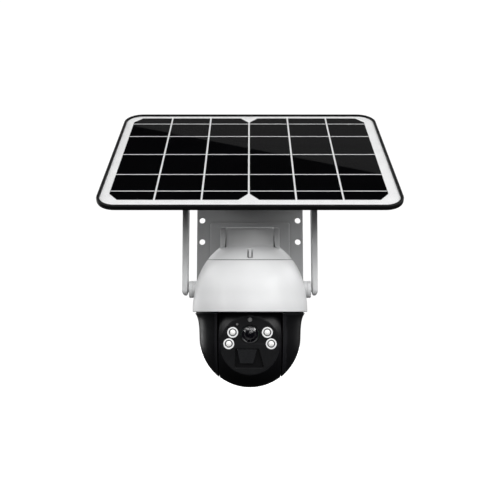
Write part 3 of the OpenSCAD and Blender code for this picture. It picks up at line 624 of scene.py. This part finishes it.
def arm_outline(inset, r):
    """Section of the arm across its length, as (x, height above the rim)."""
    mid = (ARM_TOP + ARM_LOW) / 2
    return [(x, mid + y) for x, y in
            round_rect(2 * (ARM_HALF - inset), ARM_TOP - ARM_LOW - 2 * inset, r)]


def nose_outline(inset, shrink):
    """Plan of the nose: straight sides and a front that is curved around the dome's axis."""
    half, r = NOSE_HALF - inset - shrink, NOSE_FRONT - inset - shrink
    edge = math.degrees(math.asin(half / r))
    front = arc(0, 0, r, -90 + edge - 1.5, -90 - edge + 1.5, 20)
    return [(half, 8), (half, front[0][1] + 2.5), (half - 0.35, front[0][1] + 0.7)] + front + \
        [(-half + 0.35, front[0][1] + 0.7), (-half, front[0][1] + 2.5), (-half, 8)]


def arm_volume(name, inset, back):
    """The arm, its nose and the crown as overlapping solids, before they are blended into one."""
    bm = bmesh.new()
    front = -SHOULDER + inset
    body = [[(x, y, z) for x, z in arm_outline(inset + shrink, max(ARM_CORNER - inset - shrink, 0.8))]
            for shrink, y in ((1.0, front), (0.3, front + 0.3), (0, front + 1.0), (0, back))]
    bridge(bm, body, wrap=False)
    top = NOSE_TOP - inset
    climb = (ARM_TOP - NOSE_TOP) / (NOSE_FRONT - SHOULDER)
    nose = [[(x, y, z + (z > ARM_LOW) * climb * min(y + NOSE_FRONT, NOSE_FRONT - SHOULDER))
             for x, y in nose_outline(inset, shrink)]
            for shrink, z in ((0, ARM_LOW), (0, top - 1.0), (0.3, top - 0.3), (1.0, top))]
    bridge(bm, nose, wrap=False)
    low = math.asin((ARM_LOW - 8 + 2 * inset - CROWN_Z) / (CROWN_H - inset))
    rows = []
    for i in range(40):
        r, z = crown_point(low + (math.pi / 2 - low) * i / 40, inset)
        rows.append([(r * math.cos(2 * math.pi * k / 160), r * math.sin(2 * math.pi * k / 160), z)
                     for k in range(160)])
    bridge(bm, rows, wrap=False)
    return piece(name, bm, DOME)


def blended(obj, voxel, rounds):
    """Fuses overlapping solids and lets the joins flow into each other."""
    mod = obj.modifiers.new("fuse", "REMESH")
    mod.mode = "VOXEL"
    mod.voxel_size = voxel * MM
    mod.adaptivity = 0
    smooth = obj.modifiers.new("flow", "SMOOTH")
    smooth.factor = 0.5
    smooth.iterations = rounds
    apply_modifiers(obj)


def wedge(sign):
    """Relief beside the nose, where the shoulder meets the dome."""
    bm = bmesh.new()
    corners = ((NOSE_HALF - 0.1, 81), (NOSE_HALF - 0.1, 66), (NOSE_HALF + 1.5, 66))
    rows = [[(sign * x, y, z) for x, z in corners] for y in (-SHOULDER - 4, -SHOULDER + 6)]
    bridge(bm, rows, wrap=False)
    return piece("wedge", bm, DOME)


def build_arm():
    """The grey housing: arm, nose and cap in one hollow piece, with a slot, a bay and a socket hole."""
    outer = arm_volume("arm_housing_body", 0, ARM_BACK + 6)
    blended(outer, 0.8, 6)
    inner = arm_volume("hollow", HOOD_WALL, ARM_BACK + 3)
    blended(inner, 1.2, 3)
    combine(outer, inner)
    # Below the sloping seam only the arm itself goes on
    slope = Matrix.Translation((0, 0, SEAM_H * MM)) @ Matrix.Rotation(math.radians(SEAM_SLOPE), 4, "X")
    below = box_piece("below", (-90, -90, -60), (90, ARM_ENTRY + 0.5, SEAM_GAP / 2), DOME @ slope)
    combine(outer, below)
    combine(outer, box_piece("behind", (-60, ARM_BACK, 30), (60, ARM_BACK + 30, 110), DOME))
    for sign in (-1, 1):
        combine(outer, wedge(sign))
    mid, height = (SLOT_LOW + SLOT_HIGH) / 2, SLOT_HIGH - SLOT_LOW
    slot = loft(lambda inset: round_rect(SLOT_W - 2 * inset, height - 2 * inset, 0.9), [(0, 0), (0, 30)])
    bmesh.ops.rotate(slot, verts=slot.verts, matrix=Matrix.Rotation(math.radians(90), 3, "X"))
    bmesh.ops.translate(slot, vec=(0, -30, mid), verts=slot.verts)
    combine(outer, piece("slot", slot, DOME))
    combine(outer, service_bay())
    socket_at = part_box("charge_socket")
    hole = revolved([(0.01, 20), (5, 20), (5, 45), (0.01, 45)], 48, "X")
    combine(outer, piece("hole", hole, Matrix.Translation((0, (socket_at[0].y + socket_at[1].y) / 2,
                                                           (socket_at[0].z + socket_at[1].z) / 2))))
    shade(outer, 30)
    stands_for(outer, "arm_housing")
    build_latch()


def service_bay():
    """The opening under the arm, a little larger than the cover that closes it."""
    low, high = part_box("service_cover")
    gap, side = 0.3 * MM, 2.4 * MM
    return box_piece("bay", [c / MM for c in (low.x + side - gap, low.y - gap, low.z - 0.002)],
                     [c / MM for c in (high.x - side + gap, -0.0126, high.z + 0.0015)])


def build_latch():
    """A sprung tongue stands in the slot of the cap, in front of a sunk back wall."""
    height = SLOT_HIGH - SLOT_LOW
    place = DOME @ Matrix.Translation((0, -36.5 * MM, (SLOT_LOW + SLOT_HIGH) / 2 * MM))
    upright = place @ Matrix.Rotation(math.radians(90), 4, "X")
    back = slab("latch_back", round_rect(SLOT_W + 1.6, height + 1.6, 1), 0, 1, 0.2, upright)
    joins_in(back, "arm_housing")
    tongue = slab("latch_tongue", round_rect(2.6, height - 0.6, 1.25), 0.8, 6.2, 1.1, upright)
    joins_in(tongue, "arm_housing")


# ---------- antennas ----------


def build_antennas():
    """Each antenna folds about a round base with a groove and a pivot pin."""
    base = [(3.0, 4.6), (2.6, 4.9), (0.01, 4.9), (0.01, -10), (8.8, -10), (9.0, -9.8)]
    base += [(9.0, -5.9), (8.6, -5.6), (8.6, -5.1), (9.0, -4.8)] + arc(8.0, -2.2, 1.0, 0, 90, 4)
    base += [(3.6, -1.2), (3.0, -0.9)]
    for side, turn in (("left", math.pi), ("right", 0)):
        turned = PIVOTS[side] @ Matrix.Rotation(turn, 4, "Z")
        round_base = piece(f"antenna_base_{side}_body", revolved(base, 72, "X"), turned, 30)
        stands_for(round_base, f"antenna_base_{side}")
        stands_for(piece(f"antenna_{side}_body", antenna_blade(), turned, 30), f"antenna_{side}")


def antenna_outline(inset):
    """Side outline of a blade as (y, z): round at the pivot, wider towards the top."""
    low, wide, corner = 6.5 - inset, 9.0 - inset, 5
    top = ANTENNA_LEN - inset - corner
    return (arc(0, 0, low, 180, 360, 24) + arc(wide - corner, top, corner, 0, 90, 6)
            + arc(-wide + corner, top, corner, 90, 180, 6))


def antenna_blade():
    """A flat blade with soft edges, a shallow panel on each face and a bevelled foot."""
    bm = bmesh.new()
    edge = [(3.2, 0.3), (2.9, 0), (1.2, 0), (0.45, 0.35), (0, 1.2)]
    levels = edge + [(inset, ANTENNA_T - x) for inset, x in edge[::-1]]
    rows = [[(x + foot_bevel(z, x / ANTENNA_T), y, z) for y, z in antenna_outline(inset)]
            for inset, x in levels]
    bridge(bm, rows, wrap=False)
    return bm


def foot_bevel(z, across):
    """The blade thins out below its pivot, a little on the inside and more on the outside."""
    inside = min(max((1 - z) / 8, 0), 1) * 0.9
    outside = min(max((-3 - z) / 4, 0), 1) * 1.9
    return inside * (1 - across) - outside * across


# ---------- yoke ----------


CHEEK_R = BALL_R + 0.3
FLARE = [(56.3, -1.03), (57.0, -1.2), (57.2, -1.7), (56.7, -2.5), (56.0, -3.5), (55.4, -4.8), (54.8, -6.4),
         (54.2, -8.6), (53.7, -11.2), (53.3, -14.4), (52.95, -18.4)]


def round_lip(obj, x, radius):
    """Rounds the outer edge of the flat face at x (millimetres)."""
    bm = bmesh.new()
    bm.from_mesh(obj.data)
    lip = [e for e in bm.edges if all(abs(v.co.x / MM - x) < 0.01 for v in e.verts) and e.is_manifold
           and e.calc_face_angle(0) > math.radians(25) and all(v.co.z / MM < -4 for v in e.verts)
           and min((v.co.yz - (BALL.translation - DOME.translation).yz).length for v in e.verts) > 0.015]
    bmesh.ops.bevel(bm, geom=lip, offset=radius * MM, segments=5, profile=0.5, affect="EDGES",
                    clamp_overlap=True)
    bm.to_mesh(obj.data)
    bm.free()


def across(sign, near, far):
    """A block that holds what lies between two distances from the middle, on one side."""
    low, high = sorted((sign * near, sign * far))
    return box_piece("keep", (low, -90, -120), (high, 90, 60), DOME)


def drill_sound_holes(cheek):
    """A grid of small holes in front of the speaker."""
    pitch = 4
    for row in range(-1, 2):
        for col in range(-2, 3):
            drill = revolved([(0.01, 30), (0.8, 30), (0.8, 70), (0.01, 70)], 16, "X")
            place = (0, col * pitch, row * pitch - BALL_DROP - pitch)
            bmesh.ops.translate(drill, vec=place, verts=drill.verts)
            combine(cheek, piece("drill", drill, DOME))


def build_yoke():
    """The collar and deck under the hood, and two hollow cheeks with flat covers on their inner sides."""
    deck = [(COLLAR_R - 0.4, -1.0), (COLLAR_R, -0.6), (COLLAR_R, 9), (DECK_R + 0.2, 12.8), (DECK_R, 13.4),
            (DECK_R, 31.4), (DECK_R - 0.6, 32), (13, 32), (13, 44), (12.5, 44.5), (9, 44.5), (9, 29),
            (DECK_R - 2.2, 29), (DECK_R - 2.2, 12), (COLLAR_R - 2.2, 8), (COLLAR_R - 2.2, -1.0)]
    stands_for(piece("pan_deck_body", revolved(deck, 160), DOME, 30), "pan_deck")
    tongue = DECK_R - 2.6
    outer = FLARE + arc(0, -BALL_DROP, CHEEK_R, 0, -89.9, 24)
    inner = arc(0, -BALL_DROP, CHEEK_R - 2.2, -89.9, 0, 24)
    shell = [(tongue, 24), (tongue, -1.2)] + outer + inner + [(tongue - 2.2, -12), (tongue - 2.2, 24)]
    solid = [(0.01, 24), (tongue, 24), (tongue, -1.2)] + outer + [(0.01, -CHEEK_R - BALL_DROP)]
    for side, sign in (("left", -1), ("right", 1)):
        cheek = piece(f"cheek_{side}_body", revolved(shell, 160), DOME)
        combine(cheek, across(sign, COVER_OUT + 0.12, 70), "INTERSECT")
        if side == "right":
            drill_sound_holes(cheek)
        soften(cheek, 0.3, 2, 40)
        stands_for(cheek, f"cheek_{side}")
        cover = piece(f"cheek_cover_{side}_body", revolved(solid, 160), DOME)
        combine(cover, across(sign, COVER_IN, COVER_OUT), "INTERSECT")
        bore = revolved([(0.01, -60), (8.52, -60), (8.52, 60), (0.01, 60)], 64, "X")
        combine(cover, piece("bore", bore, BALL))
        round_lip(cover, sign * COVER_IN, 1.7)
        soften(cover, 0.3, 2, 40)
        stands_for(cover, f"cheek_cover_{side}")


# ---------- camera head ----------


def build_ball():
    """The camera's hollow ball with flat sides, split into a front and a rear shell."""
    edge = math.degrees(math.asin(BALL_HALF / BALL_R))
    inner_edge = math.degrees(math.asin((BALL_HALF - BALL_WALL) / (BALL_R - BALL_WALL)))
    outer = arc(0, 0, BALL_R, -edge + 1.0, edge - 1.0, 40)
    inner = arc(0, 0, BALL_R - BALL_WALL, inner_edge, -inner_edge, 24)
    flat = outer[0][0] - 0.9
    section = ([(6.05, -BALL_HALF), (flat, -BALL_HALF), (flat + 0.55, -BALL_HALF + 0.2)] + outer
               + [(flat + 0.55, BALL_HALF - 0.2), (flat, BALL_HALF), (6.05, BALL_HALF)]
               + [(6.05, BALL_HALF - BALL_WALL)] + inner + [(6.05, BALL_WALL - BALL_HALF)])
    for half, low, high in (("front", -FACE_D, -0.12), ("rear", 0.12, 60)):
        ball = piece(f"ball_{half}_body", revolved(section, 192, "X"), HEAD)
        combine(ball, box_piece("half", (-60, low, -60), (60, high, 60), HEAD), "INTERSECT")
        if half == "front":
            wall = FACE_R + 0.08
            pocket = revolved([(0.01, -FACE_T), (wall, -FACE_T), (wall, 5), (0.01, 5)], 128)
            combine(ball, piece("pocket", pocket, FACE))
        soften(ball, 0.22, 2, 40)
        stands_for(ball, f"ball_{half}")


def build_face():
    """The round face plate with its holes, and what stands in them."""
    holes = [circle(LENS_R + LENS_GAP, 0, LENS_UP, 64)]
    holes += [circle(LED_R + 0.08, x, y, 48) for x, y in LEDS]
    holes += [circle(2.3, 0, SENSOR_UP, 32), circle(1.25, *STATUS_AT, 24)]
    holes.append(rounded_corners(list(PIR_OUTER)[::-1], 1.6))
    plate = pierced("face_plate_body", [circle(FACE_R, n=160)] + holes, -FACE_T + 0.05, 0, 0.22, FACE)
    stands_for(plate, "face_plate")
    build_lens()
    build_lamps()
    build_window()


def build_lens():
    """A domed front glass in a thin bezel, over a dark funnel, a grey retaining ring and a rear element."""
    place = FACE @ Matrix.Translation((0, LENS_UP * MM, 0))
    bezel = [(4.6, -16), (7.4, -16), (7.4, -FACE_T), (LENS_R, -FACE_T), (LENS_R, 0.6), (LENS_R - 0.2, 0.95),
             (LENS_R - 0.45, 0.95), (GLASS_R + 0.03, 0.75), (GLASS_R + 0.03, -0.7), (6.3, -2.6),
             (6.0, -2.7), (6.0, -3.2), (5.0, -3.6), (4.6, -3.7)]
    stands_for(piece("lens_barrel_body", revolved(bezel, 96), place, 28), "lens_barrel")
    outer, inner = glass_curve(0.0), glass_curve(0.7)
    stands_for(piece("lens_glass_body", revolved(outer + inner[::-1], 112), place, 40), "lens_glass")
    ring = [(4.75, -2.9), (5.9, -2.5), (5.98, -2.9), (4.9, -3.3)]
    joins_in(piece("lens_retainer", revolved(ring, 72), place), "lens_barrel", "sensor_grey")
    rear = [(0.01, -6.4), (4.4, -6.3)] + dome_curve(4.4, -6.3, 1.4, 10)
    joins_in(piece("lens_rear_element", revolved(rear, 72), place), "lens_barrel", "lens_glass")
    eye = [(0.01, -4.95), (1.0, -5.0)] + dome_curve(1.0, -4.9, 0.35, 6)
    joins_in(piece("lens_pupil", revolved(eye, 40), place), "lens_barrel", "sensor_grey")


def dome_curve(r, low, rise, n):
    """Points up a shallow dome of base radius r, from its rim to its top."""
    ball = (r * r + rise * rise) / (2 * rise)
    edge = math.asin(r / ball)
    points = [(ball * math.sin(edge * (1 - i / n)), low + rise - ball * (1 - math.cos(edge * (1 - i / n))))
              for i in range(n + 1)]
    points[-1] = (0.01, low + rise)
    return points


def glass_curve(inside):
    """The front glass from its middle to its rim: it is flatter near the rim than in the middle."""
    tight, wide, change, last = 12.3 - inside, 20.0 - inside, 27, 35
    n = 12
    points = [(max(tight * math.sin(math.radians(a)), 0.01), tight * math.cos(math.radians(a)))
              for a in [change * i / n for i in range(n + 1)]]
    cx = (tight - wide) * math.sin(math.radians(change))
    cz = (tight - wide) * math.cos(math.radians(change))
    points += [(cx + wide * math.sin(math.radians(a)), cz + wide * math.cos(math.radians(a)))
               for a in [change + (last - change) * i / n for i in range(1, n + 1)]]
    top = GLASS_TOP - inside
    points = [(min(r, GLASS_R), z - tight + top) for r, z in points]
    return points + [(points[-1][0], -0.5 if not inside else -0.6)]


def build_lamps():
    """Four white rings with domed lamps in dark wells, the light sensor and the status lamp."""
    rings, lamps, wells = [], [], []
    bore = LED_HOLE_R + 0.2
    ring = [(bore, -FACE_T), (LED_R - 0.1, -FACE_T), (LED_R, -FACE_T + 0.1), (LED_R, -0.05)] + \
        arc(LED_R - 0.3, -0.05, 0.3, 0, 90, 4) + arc(bore + 0.3, -0.05, 0.3, 90, 180, 4)
    well = [(2.75, -FACE_T), (bore - 0.02, -FACE_T), (bore - 0.02, -0.05), (bore - 0.25, -0.15),
            (3.2, -0.6), (2.75, -0.8)]
    dome = [(2.8 * math.cos(math.radians(a)), -0.9 + 1.5 * math.sin(math.radians(a)))
            for a in range(8, 82, 8)]
    lamp = [(0.01, -4), (2.8, -4), (2.8, -0.9)] + dome + [(0.32, 0.6), (0.3, 0.35), (0.01, 0.3)]
    for x, y in LEDS:
        place = Matrix.Translation((x * MM, y * MM, 0))
        rings.append(piece("ring", revolved(ring, 72), place))
        wells.append(piece("well", revolved(well, 56), place))
        lamps.append(piece("lamp", revolved(lamp, 56), place))
    stands_for(piece("led_rings_body", joined(rings), FACE, 35), "led_rings")
    joins_in(piece("led_wells", joined(wells), FACE, 35), "led_rings", "lens_black")
    stands_for(piece("led_lamps_body", joined(lamps), FACE, 45), "led_lamps")
    eye = [(0.01, -FACE_T), (2.22, -FACE_T), (2.22, -0.5), (2.05, -0.25), (1.2, -0.12), (0.01, -0.08)]
    place = FACE @ Matrix.Translation((0, SENSOR_UP * MM, 0))
    stands_for(piece("light_sensor_body", revolved(eye, 48), place), "light_sensor")
    dot = [(0.01, -FACE_T), (1.15, -FACE_T), (1.15, -0.6), (0.95, -0.42), (0.01, -0.36)]
    place = FACE @ Matrix.Translation((STATUS_AT[0] * MM, STATUS_AT[1] * MM, 0))
    stands_for(piece("status_lamp_body", revolved(dot, 32), place), "status_lamp")


def build_window():
    """The motion sensor's window: a raised pane stands in a dark sunk frame."""
    outer = rounded_corners(list(PIR_OUTER)[::-1], 1.5)
    pane = rounded_corners(list(PIR_INNER)[::-1], 0.8)
    levels = [(0.1, -FACE_T), (0.1, -1.5), (0.4, -1.5), (0.45, -2.1)]
    well = loft(lambda inset: moved_in(outer, inset), levels)
    stands_for(piece("pir_lens_body", well, FACE, 25), "pir_lens", slot="black_plastic")
    bm = bmesh.new()
    foot = moved_in(pane, -0.5)
    rows = [[(x, y, -2.1) for x, y in foot], [(x, y, -0.75 - (y + 11) * 0.03) for x, y in pane],
            [(x, y, -0.5 - (y + 11) * 0.03) for x, y in moved_in(pane, 0.3)]]
    bridge(bm, rows, wrap=False)
    joins_in(piece("pir_pane", bm, FACE, 25), "pir_lens", "pir_film")


# ---------- solar panel ----------


def frame_rim(inset):
    """Outline of the panel's frame."""
    return round_rect(PANEL_W - 2 * inset, PANEL_L - 2 * inset, FRAME_CORNER - inset, 14)


def frame_border(inset):
    """Outline of the pocket inside the frame. The frame is a little wider at the panel's upper end."""
    w = PANEL_W - 2 * LIP - 2 * inset
    h = PANEL_L - LIP - FAR_LIP - 2 * inset
    shift = (LIP - FAR_LIP) / 2
    return [(x, y + shift) for x, y in round_rect(w, h, FRAME_CORNER - LIP - inset, 14)]


def build_panel():
    """A frame with a rounded rim and a sunk back, the white sheet, the cells and the glass."""
    low = -PANEL_T
    outside = ((30, low + 0.9), (12.6, low + 0.9), (12, low), (1.0, low), (0.3, low + 0.3), (0, low + 1),
               (0, -0.9), (0.25, -0.3), (0.8, 0))
    inside = ((-0.5, 0), (-0.1, -0.15), (0, -0.45), (0, -POCKET_T))
    rows = [[(x, y, z) for x, y in frame_rim(inset)] for inset, z in outside]
    rows += [[(x, y, z) for x, y in frame_border(inset)] for inset, z in inside]
    bm = bmesh.new()
    bridge(bm, rows, wrap=False)
    stands_for(piece("panel_frame_body", bm, PANEL, 28), "panel_frame")
    sheet = loft(lambda inset: frame_border(inset + 0.1), soft_levels(-POCKET_T, -POCKET_T + 0.8, 0.15, 2))
    stands_for(piece("panel_backsheet_body", sheet, PANEL), "panel_backsheet")
    glass = loft(lambda inset: frame_border(inset + 0.1), soft_levels(-1.18, -0.12, 0.2, 3))
    stands_for(piece("panel_glass_body", glass, PANEL), "panel_glass")
    build_cells()


def strip_outline(k):
    """One of six strips; the strips at the ends of each block of three have cut corners."""
    w, h = CELL_W / 6 - CELL_GAP, CELL_L / 2
    x = (k - 2.5) * CELL_W / 6
    left, right = x - w / 2, x + w / 2
    cx, cy = CELL_CUT
    if k % 3 == 0:
        return [(left + cx, -h), (right, -h), (right, h), (left + cx, h), (left, h - cy), (left, -h + cy)]
    if k % 3 == 2:
        return [(left, -h), (right - cx, -h), (right, -h + cy), (right, h - cy), (right - cx, h), (left, h)]
    return [(left, -h), (right, -h), (right, h), (left, h)]


def build_cells():
    """Six strips of cells on the sheet, and five thin ribbons across them."""
    low = -POCKET_T + 0.8
    top = low + 0.3
    cells = [slab("cell", strip_outline(k), low, top, 0.05, IDENTITY) for k in range(6)]
    place = PANEL @ Matrix.Translation((CELLS_AT[0] * MM, CELLS_AT[1] * MM, 0))
    stands_for(piece("solar_cells_body", joined(cells), place), "solar_cells")
    reach, half = CELL_W / 2 - 1.2, 0.6
    ribbons = []
    for share in RIBBONS:
        y = (share - 0.5) * CELL_L
        strip = [(-reach, y - half), (reach, y - half), (reach, y + half), (-reach, y + half)]
        ribbons.append(slab("ribbon", strip, top, top + 0.1, 0.03, IDENTITY))
    stands_for(piece("cell_ribbons_body", joined(ribbons), place), "cell_ribbons")


# ---------- wall plate ----------


def wall_holes():
    """Outlines of the holes that the record's bolt patterns give."""
    holes = []
    for mount in frame["record"]["mounts"]:
        if mount["kind"] != "bolt_pattern":
            continue
        dims = mount["dims"]
        run, rise = dims["spacing_x_mm"] / 2, dims.get("spacing_y_mm", 0) / 2
        for z in sorted({-rise, rise}):
            holes += [circle(dims["hole_r_mm"], s * run, z + mount["pos_m"][2] / MM, 40) for s in (-1, 1)]
    return holes


def pad_outline(inset):
    return [(x, y - PAD_DROP) for x, y in round_rect(PAD_W - 2 * inset, PAD_H - 2 * inset, PAD_CORNER)]


def build_plate():
    """The flat plate with its holes, and the raised pad that the arm is screwed to."""
    low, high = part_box("wall_plate")
    width, height = (high.x - low.x) / MM, (high.z - low.z) / MM
    mid = (high.z + low.z) / 2 / MM
    upright = Matrix.Rotation(math.radians(90), 4, "X")
    outline = [(x, y + mid) for x, y in round_rect(width, height, PLATE_CORNER)]
    plate = pierced("wall_plate_flange", [outline] + wall_holes(), 0.0, PLATE_T, 0.45, upright)
    edge = [(0, PLATE_T - 0.5), (0, PAD_RISE - 0.8), (0.25, PAD_RISE - 0.25), (0.8, PAD_RISE),
            (2.2, PAD_RISE)]
    pad_piece = piece("wall_plate_pad", loft(pad_outline, edge), upright)
    both = joined([plate, pad_piece])
    stands_for(piece("wall_plate_body", both, IDENTITY, 30), "wall_plate")


# ---------- the CAD nodes that stay ----------


def dress_cad_nodes(rounding):
    """Each CAD node that shows gets its slot's material, and softened edges where its shape allows."""
    for name, obj in frame["nodes"].items():
        obj.data.materials.clear()
        obj.data.materials.append(MATERIALS[NODE_SLOT[name]])
        if name not in rounding:
            continue
        weld = obj.modifiers.new("weld", "WELD")
        weld.merge_threshold = 0.003 * MM
        bevel = obj.modifiers.new("soften", "BEVEL")
        bevel.width = rounding[name] * MM
        bevel.segments = 2
        bevel.limit_method = "ANGLE"
        bevel.angle_limit = math.radians(35)


build_hood()
build_arm()
build_antennas()
build_yoke()
build_ball()
build_face()
build_panel()
build_plate()
dress_cad_nodes({"panel_strut": 0.8, "panel_bracket": 0.5, "clamp_knob": 0.7, "hinge_bolt": 0.4,
                 "junction_box": 0.5, "charge_socket": 0.3, "service_cover": 0.3})

# ---------- floor, light and camera ----------


def build_stage():
    """A pale floor well below, and a white room with a soft bright band some way above the horizon."""
    bm = bmesh.new()
    bmesh.ops.create_grid(bm, x_segments=1, y_segments=1, size=12000)
    floor = piece("floor", bm, Matrix.Translation((0, 0, -0.75)))
    s = Surface("floor")
    s.colour(s.mixed(s.spread(s.noise(400, 3), 0, 1), (0.88, 0.88, 0.88), (0.9, 0.9, 0.9)))
    s.rough(s.spread(s.noise(200, 2), 0.75, 0.9))
    socket_set(s.shader, Specular_IOR_Level=0.0, Emission_Color=(1, 1, 1, 1), Emission_Strength=0.6)
    floor.data.materials.append(s.material)
    floor.visible_diffuse = False
    floor.visible_glossy = False
    world = bpy.data.worlds.new("studio")
    scene.world = world
    world.use_nodes = True
    tree = world.node_tree
    where = tree.nodes.new("ShaderNodeTexCoord")
    split = tree.nodes.new("ShaderNodeSeparateXYZ")
    height = tree.nodes.new("ShaderNodeMapRange")
    height.inputs["From Min"].default_value = -1
    ramp = tree.nodes.new("ShaderNodeValToRGB")
    tree.links.new(where.outputs["Generated"], split.inputs["Vector"])
    tree.links.new(split.outputs["Z"], height.inputs["Value"])
    tree.links.new(height.outputs["Result"], ramp.inputs["Fac"])
    stops = ((0.0, 0.0), (0.6, 0.01), (0.69, 0.2), (0.71, 1.0), (0.79, 1.0), (0.81, 0.42), (0.9, 0.1),
             (0.93, 0.0))
    while len(ramp.color_ramp.elements) < len(stops):
        ramp.color_ramp.elements.new(1)
    for stop, (position, value) in zip(ramp.color_ramp.elements, stops):
        stop.position = position
        stop.color = (value, value, value, 1)
    back = tree.nodes["Background"]
    back.inputs["Strength"].default_value = 3.4
    tree.links.new(ramp.outputs["Color"], back.inputs["Color"])
    plain = tree.nodes.new("ShaderNodeBackground")
    plain.inputs["Strength"].default_value = 1.05
    plain.inputs["Color"].default_value = (1, 1, 1, 1)
    seen = tree.nodes.new("ShaderNodeLightPath")
    either = tree.nodes.new("ShaderNodeMixShader")
    tree.links.new(seen.outputs["Is Camera Ray"], either.inputs["Fac"])
    tree.links.new(back.outputs["Background"], either.inputs[1])
    tree.links.new(plain.outputs["Background"], either.inputs[2])
    tree.links.new(either.outputs["Shader"], tree.nodes["World Output"].inputs["Surface"])
    scene.view_settings.view_transform = "Standard"


def area_light(name, place, aim, size, energy, spin=0.0, roll=0.0):
    """A rectangular light that faces a point. spin turns it about the vertical, roll about its own aim."""
    light = bpy.data.lights.new(name, "AREA")
    light.shape = "RECTANGLE"
    light.size, light.size_y = size
    light.energy = energy
    obj = bpy.data.objects.new(name, light)
    scene.collection.objects.link(obj)
    obj.location = place
    turn = (Vector(aim) - Vector(place)).to_track_quat("-Z", "Y").to_matrix()
    spun = Matrix.Rotation(math.radians(spin), 3, "Z")
    rolled = Matrix.Rotation(math.radians(roll), 3, "Z")
    obj.rotation_euler = (spun @ turn @ rolled).to_euler()


def build_camera():
    """The viewpoint is level with the hood's rim and looks up a little."""
    distance, look_up = 0.6752, 5.53
    camera = bpy.data.objects.new("camera", bpy.data.cameras.new("camera"))
    scene.collection.objects.link(camera)
    camera.data.sensor_width = 36
    camera.data.lens = 46.08
    camera.data.clip_end = 50
    camera.location = (0, DOME.translation.y - distance, RIM_Z)
    camera.rotation_euler = (math.radians(90 + look_up), 0, 0)
    scene.camera = camera


build_stage()
build_camera()
MIDDLE = (0, -0.1, -0.05)
area_light("low front", (0.3, -2.2, -0.05), MIDDLE, (1.4, 0.5), 2.8)
area_light("mid front", (0.5, -2.1, 0.4), MIDDLE, (1.4, 0.5), 5.4)
area_light("right front", (1.4, -1.3, 0.7), MIDDLE, (0.8, 0.8), 10.4)
area_light("left rim", (-1.2, 1.1, 0.2), MIDDLE, (0.6, 1.2), 4.0)
area_light("right rim", (1.2, 1.1, 0.2), MIDDLE, (0.6, 1.2), 0.6)
area_light("left high", (-1.55, -1.3, 0.41), (0, -0.14, -0.085), (0.26, 0.75), 4.5, roll=32.6)
area_light("overhead", (0.142, 1.06, 1.5), (0.142, 1.06, 0), (3.0, 1.2), 1.4, spin=-11.7)
